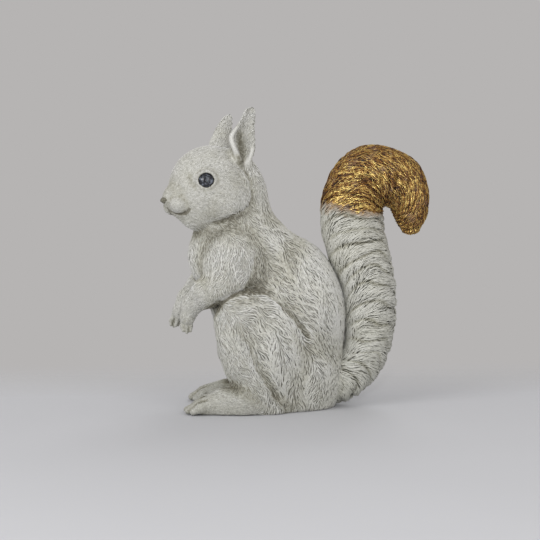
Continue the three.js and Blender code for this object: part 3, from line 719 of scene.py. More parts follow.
def resin_finish(name, gilded):
    """Matt cream paint on the crests with a grey-green wash and painted shade in the grooves, and painted
    shade that makes it a little darker near the floor. Where it is gilded, worn gold paint over a brown
    wash takes its place, with painted highlights on its crests."""
    s = Shader(name)
    patches = s.noise(55, 4, 0.55)
    grain = s.noise(900, 3, 0.6)
    coarse = s.math("MULTIPLY", s.noise(480, 2, 0.5), 0.3)
    speckle = s.math("ADD", s.math("MULTIPLY", grain, 0.55), coarse)
    # The crest value darkens the ridges' edges and the gaps between them: painted shade where the carved
    # ridges shade each other, together with the wash.
    crest = s.math("ADD", s.attribute("crest"), s.math("SUBTRACT", speckle, 0.425), True)
    colour = s.ramp(crest, (0.0, GROOVE), (0.28, SHADOW), (0.55, PALE), (0.9, CREAM))
    colour = s.times(colour, s.ramp(patches, (0.35, (1, 1, 1)), (0.7, (0.97, 0.967, 0.93))))
    broken = s.ramp(s.noise(420, 3, 0.6), (0.35, 0.55), (0.65, 1.0))
    # Creases and hollows are darkened by the grey-green wash together with painted shade where they lie in
    # shade.
    wash_and_shade = s.math("MULTIPLY", s.attribute("wash_and_shade"), s.math("MULTIPLY", broken, 1.25))
    colour = s.times(colour, s.ramp(wash_and_shade, (0.08, (1, 1, 1)), (0.45, (0.76, 0.75, 0.69)),
                                    (0.95, (0.3, 0.28, 0.22))))
    # Painted shade: the colour darkens towards the floor, where less light falls.
    height = s.node("ShaderNodeSeparateXYZ", Vector=s.coordinates).outputs["Z"]
    low = s.ramp(s.math("MULTIPLY", height, 8), (0.1, (0.84, 0.84, 0.82)), (0.8, (1, 1, 1)))
    colour = s.times(colour, low)
    roughness = s.ramp(grain, (0.3, 0.5), (0.7, 0.66))
    if gilded:
        colour = s.times(colour, (0.95, 0.95, 0.92))
        edge = s.math("MULTIPLY", s.math("SUBTRACT", s.noise(180, 4, 0.65), 0.5), 0.9)
        gilt = s.math("ADD", s.attribute("gilt"), edge)
        leaf = s.noise(330, 3, 0.6)
        # Worn gold on the crests over a brown wash in the grooves; the brightest gold on the crests is
        # partly a painted highlight and the darkest brown partly painted shade.
        rub_and_highlight = s.math("ADD", crest, s.math("MULTIPLY", s.math("SUBTRACT", leaf, 0.5), 0.45))
        gold = s.ramp(rub_and_highlight, (0.2, (0.014, 0.006, 0.003)), (0.43, (0.09, 0.033, 0.007)),
                      (0.58, (0.44, 0.195, 0.028)), (0.75, (1, 0.82, 0.3)))
        bare = s.ramp(s.noise(120, 4, 0.65), (0.55, 0.0), (0.68, 0.45))
        gold = s.mix(bare, gold, (0.25, 0.16, 0.12))
        fade = s.ramp(gilt, (0.2, (1, 1, 1)), (0.42, (0.82, 0.68, 0.58)), (0.6, (0.62, 0.40, 0.28)))
        colour = s.times(colour, fade)
        cover = s.ramp(gilt, (0.45, 0.0), (0.62, 1.0))
        colour = s.mix(cover, colour, gold)
        shine = s.math("MULTIPLY", s.ramp(rub_and_highlight, (0.35, 0.0), (0.75, 0.9)), s.math("SUBTRACT", 1.0, bare))
        metal = s.math("MULTIPLY", cover, shine)
        roughness = s.mix(metal, roughness, s.ramp(grain, (0.3, 0.25), (0.7, 0.4)))
        s.surface(Metallic=metal)
    s.bump(s.noise(1600, 2, 0.6), 0.25, 0.0004)
    return s.surface(Base_Color=colour, Roughness=roughness)


def eye_finish():
    """Dark grey gloss, mottled as if two greys were stippled on."""
    s = Shader("eye_gloss")
    stipple = s.noise(400, 4, 0.75)
    colour = s.ramp(stipple, (0.4, (0.004, 0.004, 0.006)), (0.52, (0.03, 0.033, 0.04)),
                    (0.66, (0.17, 0.19, 0.23)))
    return s.surface(Base_Color=colour, Roughness=s.ramp(stipple, (0.3, 0.03), (0.7, 0.09)))


def nose_finish():
    """The same wash, thick and unwiped."""
    s = Shader("nose_wash")
    grain = s.noise(900, 3, 0.6)
    colour = s.ramp(grain, (0.3, (0.09, 0.085, 0.062)), (0.7, (0.21, 0.2, 0.15)))
    s.bump(grain, 0.3, 0.0003)
    return s.surface(Base_Color=colour, Roughness=s.ramp(grain, (0.3, 0.45), (0.7, 0.6)))


RESIN = resin_finish("carved_resin", False)
TAIL_PAINT = resin_finish("carved_resin_and_gilt", True)
EYE_GLOSS = eye_finish()
NOSE_WASH = nose_finish()

# ---- the skin ----


def hollow_of(points, normals):
    """How far each place lies in a crease, which sets how dark the painted shade there is: what the field
    falls short of the height above it, at two heights."""
    short = 0
    for height, share in ((2.2, 1.4), (5, 0.7)):
        above = sample(points + normals * height)
        short = short + share * np.clip((height - above) / height - 0.1, 0, 1)
    return np.clip(short, 0, 1)


# Where wash and painted shade are laid on as lines, in the head's frame: places, the line's width and its
# strength.
SHADE_AND_WASH_LINES = [
    (MOUTH[:-1], 0.55, 0.55),
    ([[-30.5, 13.7, -10.4], [-29.6, 13.6, -13.1], [-29.4, 12.7, -15.7]], 1.1, 0.5),
    ([[-42.5, 4.6, -8.8], [-42.6, 2.2, -11.2], [-41.3, 0.8, -14.2]], 0.8, 0.55),
    ([[-28, 17.8, 0], [-27.4, 18, 3], [-26.6, 18.4, 6.2], [-27.5, 17, 10.2]], 2, 0.35),
    ([[20, 14, 12], [27, 12, -2], [32, 12, -18]], 7, 0.3),
    ([[17.7, 19.7, 9.9], [20.8, 20.4, 2.6], [20.3, 21.1, -6], [17.8, 21.7, -14.5],
      [12.3, 21.9, -18.9], [-0.7, 14.7, -25.1]], 1.8, 0.75),
    ([[10, 23.5, 22], [13, 22.5, 15.5], [17.5, 19.6, 10.5]], 2, 0.95),
    ([[7.1, 16.5, 28.1], [7.2, 18.9, 25.5], [8, 20.5, 22.2], [11.4, 20.3, 16.7],
      [15.3, 19.2, 12.2]], 1.5, 0.75),
]
FINE_LINES = [line for line in SHADE_AND_WASH_LINES if line[1] < 0.85]  # these are left bare of the coat
# Painted shade and wash down the cup of the ear, painted only where the surface faces outward.
CUP_SHADE_AND_WASH = [
    ([[14.4, 17.2, 38.4], [15.6, 15.5, 34], [16.2, 15.8, 28], [14.2, 19, 22.5], [13, 21.5, 19]],
     3.8, 0.95),
]
# Where the resin is smooth, without the carved coat: the ears' front rims and the rear ones low down.
SMOOTH = [
    ([[10, 22.3, 19.6], [7.8, 23.3, 24.1], [5.7, 24.5, 29.4], [4.6, 25, 34.7], [5.4, 24.8, 38.6],
      [9.2, 23.2, 43.4]], 3.2, 1),
    ([[17.7, 20.5, 18.1], [20.7, 21.9, 21.8], [22.6, 22.1, 27.1]], 2.6, 1),
]


def in_head(points):
    """Places in the head's frame, those of its left half mirrored into its right one."""
    local = points @ TO_HEAD[:3, :3].T + TO_HEAD[:3, 3]
    local[:, 1] = np.abs(local[:, 1])
    return local


def beside(points, place):
    """Where points lie from a place of their own side, with the left ones mirrored."""
    right = points[:, 1:2] > 0
    local = points - np.where(right, place(RIGHT), place(LEFT))
    local[:, 1] *= np.where(right[:, 0], 1, -1)
    return local


def lines_at(local, lines):
    """How far lines reach each place: their strength times exp(-(d / width)^2), at its largest."""
    reach = np.zeros(len(local))
    for line, width, strength in lines:
        line = np.array(line, float)
        for a, b in zip(line[:-1], line[1:]):
            share = np.clip((local - a) @ (b - a) / ((b - a) @ (b - a)), 0, 1)[:, None]
            away = ((local - a - share * (b - a)) ** 2).sum(1)
            reach = np.maximum(reach, strength * np.exp(-away / width ** 2))
    return reach


def paw_lines(points):
    """How far the grooves between fingers and toes reach each place."""
    return np.maximum(lines_at(beside(points, wrist), FINGER_LINES),
                      lines_at(beside(points, foot_middle), TOE_LINES))


def bare_at(points):
    """Where no coat grows: on the smooth parts, along the fine lines and on the ends of the fingers and
    toes."""
    by_wrist, by_foot = beside(points, wrist), beside(points, foot_middle)
    fingertips = (by_wrist[:, 2] < -8) & (by_wrist[:, 2] > -20) & (by_wrist[:, 0] < 12)
    toetips = (by_foot[:, 0] < FOOT_BALL - 9) & (by_foot[:, 2] < 25)
    lines = lines_at(in_head(points), FINE_LINES + SMOOTH)
    return np.max([lines, 1.3 * paw_lines(points), fingertips | toetips], 0)


def wash_and_shade_at(points, normals):
    """Painted shade and wash in the creases, thinner in the ears and on the paws, and that of the painted
    lines of shade and wash.
    """
    local = in_head(points)
    in_ears = 0.75 * smooth(local[:, 2], 8, 20)
    on_paws = 0.5 * smooth(-points[:, 0], 72, 78) * (points[:, 2] < 84)
    outward = (normals @ TO_HEAD[1, :3]) * np.sign(points @ TO_HEAD[1, :3] + TO_HEAD[1, 3])
    cup = lines_at(local, CUP_SHADE_AND_WASH) * smooth(outward, -0.5, 0.1)
    painted = np.max([lines_at(local, SHADE_AND_WASH_LINES), paw_lines(points), cup], 0)
    return np.maximum(hollow_of(points, normals) * (1 - np.maximum(in_ears, on_paws)), painted)


def add_skin():
    points, faces = net(FIELD + SKIN_DEPTH)
    points = settle(relaxed(points, faces, 2))
    # The skin shows between the ridges darker than their crests: painted shade in the gaps, together with
    # the wash.
    crest = 0.42 + 0.16 * lines_at(in_head(points), SMOOTH)  # painted paler where it is smooth
    made = piece("squirrel_skin", points, faces, RESIN,
                 {"crest": crest, "wash_and_shade": wash_and_shade_at(points, normal_at(points))})
    hidden = [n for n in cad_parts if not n.startswith("tail") and "eye" not in n and n != "nose"]
    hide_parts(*hidden)
    return points, faces


skin_points, skin_faces = add_skin()

# ---- the carved coat: small tapered ridges that follow the lie of the fur ----

# Where the lie is known: x, z, its direction in degrees (0 towards the tail, -90 down) and the fur's
# length, on the head and neck, the arm, the trunk, and the leg.
LIE = np.array([
    (-94, 160, 10, 2.2), (-82, 188, 50, 2.6), (-62, 202, 5, 3.3), (-57, 184, -5, 3.6),
    (-62, 164, -15, 3.8), (-70, 147, -20, 3.4), (-41, 166, -60, 5), (-29, 178, -75, 6.5),
    (-41, 213, 75, 5), (-52, 213, 75, 5), (-70, 135, -60, 7.5), (-47, 140, -55, 8),
    (-20, 151, -58, 9.5), (-80, 114, -95, 7.5),
    (-55, 119, -105, 7.5), (-47, 100, -125, 6.5), (-74, 86, -140, 4.2), (-86, 68, -100, 2.4),
    (-8, 135, -60, 10), (16, 112, -68, 11), (34, 72, -88, 11), (-14, 104, -56, 11),
    (-2, 84, -30, 11), (21, 92, -72, 11), (16, 53, -40, 11), (30, 62, -85, 11), (31, 17, -92, 10),
    (-60, 74, -85, 8), (-50, 87, 30, 7), (-36, 90, -15, 9), (-22, 84, -35, 11), (-10, 68, -50, 11),
    (-34, 68, -62, 11), (-25, 45, -80, 12), (-2, 42, -76, 12), (-4, 17, -90, 11),
    (-50, 50, -55, 7), (-40, 28, -50, 7), (-50, 6, -178, 3.4), (-78, 4, -170, 2.5),
])
LIE_REACH = 8  # how far each place's lie is felt
WANDER = math.radians(24)  # of the lie, in waves over the body
STRAY = math.radians(9)  # of single ridges


def wander(points, size, seed):
    """A smooth wave, mostly between -1 and 1, out of four sines in seeded directions."""
    random = np.random.default_rng(seed)
    waves = unit(random.normal(size=(4, 3))) / size * 2 * math.pi
    phases = points @ waves.T * random.uniform(0.7, 1.4, 4) + random.uniform(0, 6.28, 4)
    return np.sin(phases).mean(1) * 1.6


def lie_weights(points):
    """How much each known lie counts at each place: exp(-d^2 / (2 reach^2)), shared out to 1."""
    away = (points[:, None, 0] - LIE[:, 0]) ** 2 + (points[:, None, 2] - LIE[:, 1]) ** 2
    away = away - away.min(1, keepdims=True)
    weights = np.exp(-away / (2 * LIE_REACH ** 2))
    return weights / weights.sum(1, keepdims=True)


def fur_length(points):
    return lie_weights(points) @ LIE[:, 3]


def turned(direction, normals, angle):
    """Directions turned by these angles about the normals."""
    aside = np.cross(normals, direction)
    return direction * np.cos(angle)[:, None] + aside * np.sin(angle)[:, None]


def lie_at(points, normals):
    """Directions along the surface: nearby known ones mixed, laid flat and waved a little."""
    weights = lie_weights(points)
    turn = np.radians(LIE[:, 2])
    direction = upright(weights @ np.cos(turn), weights @ np.sin(turn))
    direction = unit(direction - normals * (direction * normals).sum(-1, keepdims=True))
    waves = WANDER * wander(points, 22, 3) + 0.75 * WANDER * wander(points, 6.5, 4)
    return turned(direction, normals, waves)


def one_in_each(points, size, shift=0):
    """Which points come first in their own cube, where space is cut into cubes of this size."""
    cube = np.floor(points / size + shift).astype(np.int64) @ np.array([1, 4096, 4096 ** 2])
    return np.sort(np.unique(cube, return_index=True)[1])


def spread_out(points, spacing):
    """Some of these points, about this far apart, sieved by cubes and again by shifted ones."""
    for shift in (0, 0.5):
        points = points[one_in_each(points, spacing, shift)]
    return points


def on_skin(count, seed):
    """Random points spread evenly over the skin's faces."""
    random = np.random.default_rng(seed)
    a, b, c, d = (skin_points[skin_faces[:, i]] for i in range(4))
    area = np.linalg.norm(np.cross(c - a, d - b), axis=1)
    chosen = random.choice(len(area), count, p=area / area.sum())
    u, v = random.random((2, count, 1))
    a, b, c, d = a[chosen], b[chosen], c[chosen], d[chosen]
    return (a * (1 - u) + b * u) * (1 - v) + (d * (1 - u) + c * u) * v


PATCH = 0.003  # how wide one tube's place on the unwrap is
FLOOR_CLEARANCE = 0.05


def tube_values(stations, first, ring, last):
    """A value for each point of a tube: its first point, each ring's three and its last point."""
    return np.concatenate([[first], np.tile(ring, stations - 2), [last]])


def tube_stations(stations):
    """The station of each point of a tube."""
    return np.concatenate([[0], np.repeat(np.arange(1, stations - 1), 3), [stations - 1]])


def tube_faces(stations, count):
    """Faces of many three-sided tubes, each of them a point, rings of three points and a point."""
    last = 3 * (stations - 2) + 1
    shape = [[0, 1 + (i + 1) % 3, 1 + i] for i in range(3)]
    for a in range(1, last - 3, 3):
        for i in range(3):
            j = (i + 1) % 3
            shape += [[a + i, a + j, a + 3 + j], [a + i, a + 3 + j, a + 3 + i]]
    shape += [[last - 3 + i, last - 3 + (i + 1) % 3, last] for i in range(3)]
    return (np.array(shape)[None] + (last + 1) * np.arange(count)[:, None, None]).reshape(-1, 3)


def add_tubes(name, ends, edges, places, material, attributes):
    """Many three-sided tubes as one piece. ends holds their middles by station and by tube, of which the
    first and the last close them, edges the three lines along each, and places where each lies on the
    unwrap."""
    stations, count = ends.shape[:2]
    rings = np.stack(edges, 1)[1:-1].reshape(-1, count, 3)
    points = np.concatenate([ends[:1], rings, ends[-1:]]).transpose(1, 0, 2).reshape(-1, 3)
    points[:, 2] = np.maximum(points[:, 2], FLOOR_CLEARANCE)
    across = tube_values(stations, 0.5, [0.0, 0.5, 1.0], 0.5)
    patch = np.stack([across, tube_stations(stations) / (stations - 1)], -1)
    uv = (places[:, None] + (patch - 0.5) * PATCH).reshape(-1, 2)
    piece(name, points, tube_faces(stations, count), material,
          {key: values.ravel() for key, values in attributes.items()}, uv)


def chart_of(roots, normals):
    """Where a place lies on an unwrap of the body: six flat charts, one for each way that a surface can
    face."""
    facing = np.abs(normals).argmax(1)
    sign = normals[np.arange(len(roots)), facing] > 0
    chart = facing * 2 + sign
    low, high = np.array([g[0] for g in GRID]), np.array([g[-1] for g in GRID])
    place = (roots - low) / (high - low)
    u = np.where(facing == 0, place[:, 1], place[:, 0])
    v = np.where(facing == 2, place[:, 1], place[:, 2])
    column, row = chart % 3, chart // 3
    return np.stack([(column + 0.03 + 0.94 * u) / 3, (row + 0.03 + 0.94 * v) / 2], -1)


RIDGE_TAPER = np.array([0, 0.75, 1, 0.9, 0.55, 0])  # of its width, from root to tip
RIDGE_RISE = np.array([0, 0.6, 1, 0.95, 0.7, 0.1])
RIDGE_SINK = 0.15  # of its edges in the skin
RIDGE_FACES = 6 + 6 * (len(RIDGE_TAPER) - 3)
PIECE_FACES = 190000  # at most, in one piece of the coat


def ridge_paths(roots, lengths, stray):
    """Each ridge's way over the skin, followed along the lie step by step from its root, with the outward
    and the forward direction at each station."""
    points, steps = settle(roots), []
    for _ in RIDGE_TAPER:
        up = normal_at(points)
        ahead = turned(lie_at(points, up), up, stray)
        steps.append((points, up, ahead))
        points = settle(points + ahead * (lengths / (len(RIDGE_TAPER) - 1))[:, None], 1)
    return map(np.array, zip(*steps))


def add_ridges(name, roots, seed):
    """One piece of the coat. A ridge's section has two sunk edges and a crest, and it closes to a point
    at both ends. The longer it is, the wider and the higher."""
    sizes, looks = np.random.default_rng(seed), np.random.default_rng(seed)
    n = len(roots)
    lengths = 0.85 * fur_length(roots) * sizes.uniform(0.75, 1.25, n)
    half_width = (0.16 + 0.057 * lengths) * sizes.uniform(0.8, 1.2, n)
    height = 0.12 + 0.085 * lengths
    path, up, ahead = ridge_paths(roots, lengths, looks.normal(0, STRAY, n))
    layer = looks.uniform(-0.05, 0.4, n) * height
    side = np.cross(ahead, up) * (RIDGE_TAPER[:, None] * half_width)[..., None]
    low = path + up * (RIDGE_RISE[:, None] * layer - RIDGE_SINK)[..., None]
    edges = low - side, low + up * (RIDGE_RISE[:, None] * height)[..., None], low + side
    # Each ridge is darkest at its sunk edges and palest on its crest: painted shade where the ridges
    # overlap, together with the wash.
    crest = tube_values(len(RIDGE_TAPER), 0.15, [0, 1, 0], 0.3) * (0.8 + 0.2 * looks.random((n, 1)))
    normals = normal_at(roots)
    wash_and_shade = np.repeat(wash_and_shade_at(roots, normals), crest.shape[1])
    add_tubes(name, low, edges, chart_of(roots, normals), RESIN,
              {"crest": crest, "wash_and_shade": wash_and_shade})


CANDIDATES = 400000  # random places on the skin that the ridges' roots are chosen from
SOLE_TOP = 1.2  # no ridge grows lower than this
LID_BREADTH = 2.4  # nor this near the eye


def add_coats():
    """Ridges all over the skin but for the soles, the lids, thin rims and the bare places, in pieces by
    the fur's length, from the front to the back."""
    points = on_skin(CANDIDATES, 11)
    points = points[points[:, 2] > SOLE_TOP]
    for side in (LEFT, RIGHT):
        eye = on_head(np.array(mirrored(EYE_CENTRE, side)))
        points = points[np.linalg.norm(points - eye, axis=1) > EYE_RADIUS + LID_BREADTH]
    normals = normal_at(points)
    thick = sample(points - 1.3 * normals) < -0.75  # where a step inward doesn't lead out again
    points, normals = points[thick], normals[thick]
    ahead = lie_at(points, normals) * fur_length(points)[:, None]
    points = points[np.max([bare_at(points + share * ahead) for share in (0, 0.4, 0.8)], 0) < 0.4]
    length = fur_length(points)
    for name, shortest, longest, spacing, seed in (
        ("coat_of_head_and_paws", 0, 4, 1.15, 21),
        ("coat_of_neck_and_limbs", 4, 7.8, 1.45, 41),
        ("coat_of_body", 7.8, 99, 1.5, 61),
    ):
        roots = spread_out(points[(length >= shortest) & (length < longest)], spacing)
        pieces = math.ceil(len(roots) * RIDGE_FACES / PIECE_FACES)
        for k, part in enumerate(np.array_split(np.argsort(roots[:, 0]), pieces)):
            add_ridges(f"{name}_{k + 1}", roots[part], seed + k)


add_coats()

# ---- the tail ----

# Where its front and back edges pass, as x, z pairs, and half its thickness from side to side.
TAIL = np.array([
    (14, 32, 18, 0.8, 15), (31, 37, 43, 5.8, 16.5), (38.3, 49.1, 67, 27, 18), (38.4, 68.2, 77, 59.1, 19),
    (35.5, 93.3, 78.3, 94.3, 20), (25.7, 117.1, 73.8, 119.5, 20.5), (19.6, 141.6, 69.2, 140.6, 21),
    (20.3, 166.7, 68.6, 154.2, 21), (32, 191.9, 70, 156.5, 21), (52.3, 205.2, 71.1, 156.8, 20.5),
    (76, 203.4, 72.4, 156.2, 19.5), (96, 191.7, 74.2, 154.5, 18), (105, 170.7, 76.2, 150.6, 16.5),
    (104.3, 150.6, 78.3, 145.9, 14), (98.5, 139.1, 83.5, 138.1, 9.5),
])
TAIL_CAP = 0.02  # how far past 1 t reaches over the rounded end
TAIL_END = 4.5  # how long that end is


def station(t):
    """The tail's five measures at t, by a cubic through each four neighbours (Catmull and Rom's)."""
    t = np.clip(t, 0, 1) * (len(TAIL) - 1)
    i = np.minimum(t.astype(int), len(TAIL) - 2)
    f = (t - i)[..., None]
    padded = np.concatenate([2 * TAIL[:1] - TAIL[1:2], TAIL, 2 * TAIL[-1:] - TAIL[-2:-1]])
    a, b, c, d = (padded[i + k] for k in range(4))
    return b + f / 2 * (c - a + f * (2 * a - 5 * b + 4 * c - d + f * (3 * (b - c) + d - a)))


def tail_frame(t):
    """The tail's middle at t, its directions from front to back and along it, half its width between
    those edges and half its thickness."""
    front_x, front_z, back_x, back_z, depth = np.moveaxis(station(t), -1, 0)
    middle = upright((front_x + back_x) / 2, (front_z + back_z) / 2)
    x, z = back_x - front_x, back_z - front_z
    width = np.sqrt(x * x + z * z) / 2
    x, z = x / (2 * width), z / (2 * width)
    return middle, upright(x, z), upright(-z, x), width, depth


def tail_at(t, angle, height):
    """A point of the tail: t along it, angle round it from its front edge over its right side, and height
    above its oval section."""
    middle, across, along, width, depth = tail_frame(t)
    past = np.maximum(t - 1, 0) / TAIL_CAP
    shrink = np.sqrt(np.clip(1 - past ** 2, 0, 1))
    point = middle - across * ((width + height) * shrink * np.cos(angle))[..., None]
    point = point + along * (past * (TAIL_END + height))[..., None]
    point[..., 1] += (depth + height) * shrink * np.sin(angle)
    return point


TAIL_ROWS = 30  # of big locks, along the whole tail
LOCK_BOLDNESS = np.random.default_rng(5).uniform(0.45, 1.5, 64)  # of each row's relief
LOCK_CLIMB = 0.065  # along the tail, from its front edge to where a lock is highest
CORE_DEPTH = 1.9  # of the core under the hair
GILT_FROM = 0.446  # where along the tail the gold begins
GILT_BLEND = 0.07


def lock_phase(t, angle):
    """Which big lock a place is on: constant along a line that climbs while it goes round to the back."""
    round_ = np.abs(angle) / math.pi
    start = t - LOCK_CLIMB * (1 - (1 - round_ / 0.6) ** 2)
    sway = 0.5 * np.sin(31 * t + 3 * angle) + 0.35 * np.sin(73 * t - 4 * np.abs(angle) + (angle > 0))
    return start * TAIL_ROWS + 0.5 * (angle > 0) + 0.35 * sway


def tail_relief(t, angle):
    """How high the tail's core stands under the hair, and how dark the wash and painted shade lie in its
    valleys: a rounded swell for each big lock, lower at the tail's front and higher at its back."""
    phase, away = lock_phase(t, angle), np.abs(angle)
    swell = np.abs(np.sin(math.pi * phase)) ** 0.6
    bold = np.interp(phase + 8, np.arange(len(LOCK_BOLDNESS)), LOCK_BOLDNESS)
    strength = np.clip(away / 1.2, 0.15 + 0.3 * gilt_of(t), 1) + 1.1 * smooth(away, 2.3, 3.1)
    valley = np.clip(1.25 - 1.9 * swell, 0, 0.85) * np.clip(bold, 0.4, 1) * np.clip(away / 0.9, 0.2, 1)
    return (swell - 0.75) * 2.6 * bold * strength, valley * (1 - 0.6 * smooth(away, 2.5, 3))


def gilt_of(t):
    """How much of the gold paint covers the tail, from none to all of it over a short way along."""
    return np.clip((t - GILT_FROM) / GILT_BLEND, 0, 1)


def ring_faces(index):
    """Triangles between the rows of an array of point numbers, whose last column meets its first."""
    right = np.roll(index, -1, 1)
    quads = np.stack([index[:-1], right[:-1], right[1:], index[1:]], -1).reshape(-1, 4)
    return np.concatenate([quads[:, [0, 1, 2]], quads[:, [0, 2, 3]]])


def add_tail_core():
    """The tail under its hair: its oval section with the locks' relief, closed at its root by a fan."""
    cap = np.sin(np.linspace(0.1, math.pi / 2, 8))
    t = np.concatenate([np.linspace(0, 1, 340), 1 + TAIL_CAP * cap])
    angle = np.linspace(-math.pi, math.pi, 97)[:-1]
    t, angle = np.meshgrid(t, angle, indexing="ij")
    relief, valley = tail_relief(np.minimum(t, 1), angle)
    points = tail_at(t, angle, relief - CORE_DEPTH).reshape(-1, 3)
    index = np.arange(t.size).reshape(t.shape)
    fan = np.stack([np.full(len(index[0]), t.size), np.roll(index[0], -1), index[0]], -1)
    # The core is darker where it sinks between the locks, and the valleys' wash carries painted shade.
    attributes = {"crest": np.clip(0.3 + 0.2 * relief, 0, 1), "wash_and_shade": valley, "gilt": gilt_of(t)}
    made = piece("tail_core", np.concatenate([points, tail_frame(np.zeros(1))[0]]),
                 np.concatenate([ring_faces(index), fan]), TAIL_PAINT,
                 {key: np.append(values, 0) for key, values in attributes.items()})
    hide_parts("tail_root", "tail", "tail_curl", "tail_tip")


add_tail_core()

STRAND_STATIONS = 11
STRAND_SPACING = 1.5
STRAND_END = 1.019  # how far t runs at most, on the rounded end
SMALL = 1e-3
STRAND_TAPER = np.sin(np.linspace(0, 1, STRAND_STATIONS) ** 0.75 * math.pi) ** 0.6
STRAND_TAPER[0] = STRAND_TAPER[-1] = 0


def strand_heading(t, angle):
    """How far a strand runs off the tail's own direction, in radians: little at the front edge, square to
    it towards the back edge, and less where the tail hooks over."""
    round_ = np.abs(angle) / math.pi
    hook = np.clip((t - 0.54) / 0.2, 0, 1)
    turn = np.interp(round_, [0, 0.25, 0.5, 0.8, 1], np.radians([14, 36, 72, 100, 60]))
    tight = np.interp(round_, [0, 0.25, 0.5, 0.8, 1], np.radians([6, 14, 24, 48, 78]))
    root = np.clip(1 - t / 0.16, 0, 1)
    return turn * (1 - hook) + tight * hook + root * np.radians(25) * (1 - round_)


def tail_stretch(t, angle, dt, da):
    """How many millimetres of the tail's surface a unit of t, or of the angle, takes up."""
    ends = [tail_at(t + sign * dt, angle + sign * da, 0 * t) for sign in (1, -1)]
    return np.linalg.norm(ends[0] - ends[1], axis=1) / (2 * (dt + da))


def strand_paths(t, angle, lengths, lift, phase):
    """Each strand's way over the tail from its root, step by step in the tail's own two measures: at each
    station its place, the outward direction, t and the wash and painted shade in the valleys. The last
    array is the t that another step would reach."""
    step, side = lengths / (STRAND_STATIONS - 1), np.sign(angle)
    curl = 0.22 + 0.2 * gilt_of(t)
    steps = []
    for k in range(STRAND_STATIONS):
        relief, valley = tail_relief(t, angle)
        height = relief - 1.2 - 0.7 * gilt_of(t) + lift
        here = tail_at(t, angle, height)
        steps.append((here, unit(tail_at(t, angle, height + 1) - here), t, valley))
        heading = strand_heading(t, angle)
        heading = heading + curl * np.sin(phase + 1.1 * k) + 0.35 * wander(here, 26, 8)
        per_t, per_angle = tail_stretch(t, angle, SMALL, 0), tail_stretch(t, angle, 0, SMALL)
        round_ = side * np.sin(heading) * step / np.maximum(per_angle, 5)
        t = np.minimum(t + np.cos(heading) * step / np.maximum(per_t, 60), STRAND_END)
        angle = angle + round_ * (1 - smooth(side * angle, 2.6, 3.1))  # none crosses the back edge
    return *map(np.array, zip(*steps)), t


def add_strands(name, low, high, count, length, seed):
    """Long tapered strands over the tail between two places along it. Each has two edges and a crest, and
    dips into the core at both its ends."""
    random = np.random.default_rng(seed)
    t = random.uniform(low, high, count * 3)
    angle = random.uniform(-math.pi, math.pi, count * 3)
    first = one_in_each(tail_at(t, angle, 0 * t), STRAND_SPACING)[:count]
    t, angle = t[first], angle[first]
    n = len(t)
    lengths = length * random.uniform(0.7, 1.3, n)
    half = random.uniform(0.5, 0.95, n) * (1 - 0.4 * gilt_of(t))
    lift, phase = random.uniform(-0.5, 0.6, n), random.uniform(0, 6.28, n)
    path, up, ts, valleys, end = strand_paths(t, angle, lengths, lift, phase)
    taper = STRAND_TAPER[:, None, None]
    aside = unit(np.cross(unit(np.gradient(path, axis=0)), up)) * taper * half[:, None]
    base = path - up * 0.9 * (1 - taper)
    sunk = base - up * 0.35 * taper
    edges = sunk - aside, base + up * taper * (0.3 + 0.6 * half)[:, None], sunk + aside
    each, end = tube_stations(STRAND_STATIONS), end[:, None]
    tone = 1 - (0.25 + 0.25 * gilt_of(end)) * random.random((n, 1))
    # Strands are darkest at their edges, painted shade between them. In the valleys they carry the wash
    # with painted shade, and strands that end past about a third of the way along are darker still.
    attributes = {
        "crest": tube_values(STRAND_STATIONS, 0.2, [0.08, 0.85, 0.08], 0.3) * tone,
        "wash_and_shade": 0.7 * valleys[each].T + 0.2 * smooth(end, 0.28, 0.38),
        "gilt": gilt_of(ts[each].T),
    }
    places = 0.02 + 0.96 * np.stack([t, angle / (2 * math.pi) + 0.5], -1)
    add_tubes(name, base, edges, places, TAIL_PAINT, attributes)


add_strands("tail_hair_root", 0.03, 0.16, 1800, 18, 31)
add_strands("tail_hair_low", 0.16, 0.33, 2500, 20, 32)
add_strands("tail_hair_high", 0.33, 0.49, 2500, 20, 33)
add_strands("tail_hair_hook", 0.49, 0.66, 2800, 18, 34)
add_strands("tail_hair_over", 0.66, 0.83, 2800, 18, 35)
add_strands("tail_hair_tip", 0.83, 1.018, 1700, 14, 36)

# ---- eyes and nose ----


def globe(radius, rows, columns):
    """A ball about the origin: rings from pole to pole along Z, and the poles' own points."""
    polar = np.linspace(0, math.pi, rows + 1)[1:-1]
    turn = np.linspace(0, 2 * math.pi, columns + 1)[:-1]
    p, a = np.meshgrid(polar, turn, indexing="ij")
    ring = np.stack([np.sin(p) * np.cos(a), np.sin(p) * np.sin(a), np.cos(p)], -1).reshape(-1, 3)
    points = np.concatenate([ring, [[0, 0, 1], [0, 0, -1]]]) * radius
    index = np.arange(len(ring)).reshape(rows - 1, columns)
    right = np.roll(index, -1, 1)
    caps = [np.stack([np.full(columns, len(ring)), index[0], right[0]], -1),
            np.stack([np.full(columns, len(ring) + 1), right[-1], index[-1]], -1)]
    return points, np.concatenate([ring_faces(index)[:, ::-1], *caps])


def add_eyes():
    for name, side in (("left_eye", LEFT), ("right_eye", RIGHT)):
        points, faces = globe(EYE_RADIUS - 0.1, 32, 48)
        points = on_head(points + mirrored(EYE_CENTRE, side))
        made = piece(f"{name}_ball", points, faces, EYE_GLOSS)
        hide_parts(name)


add_eyes()


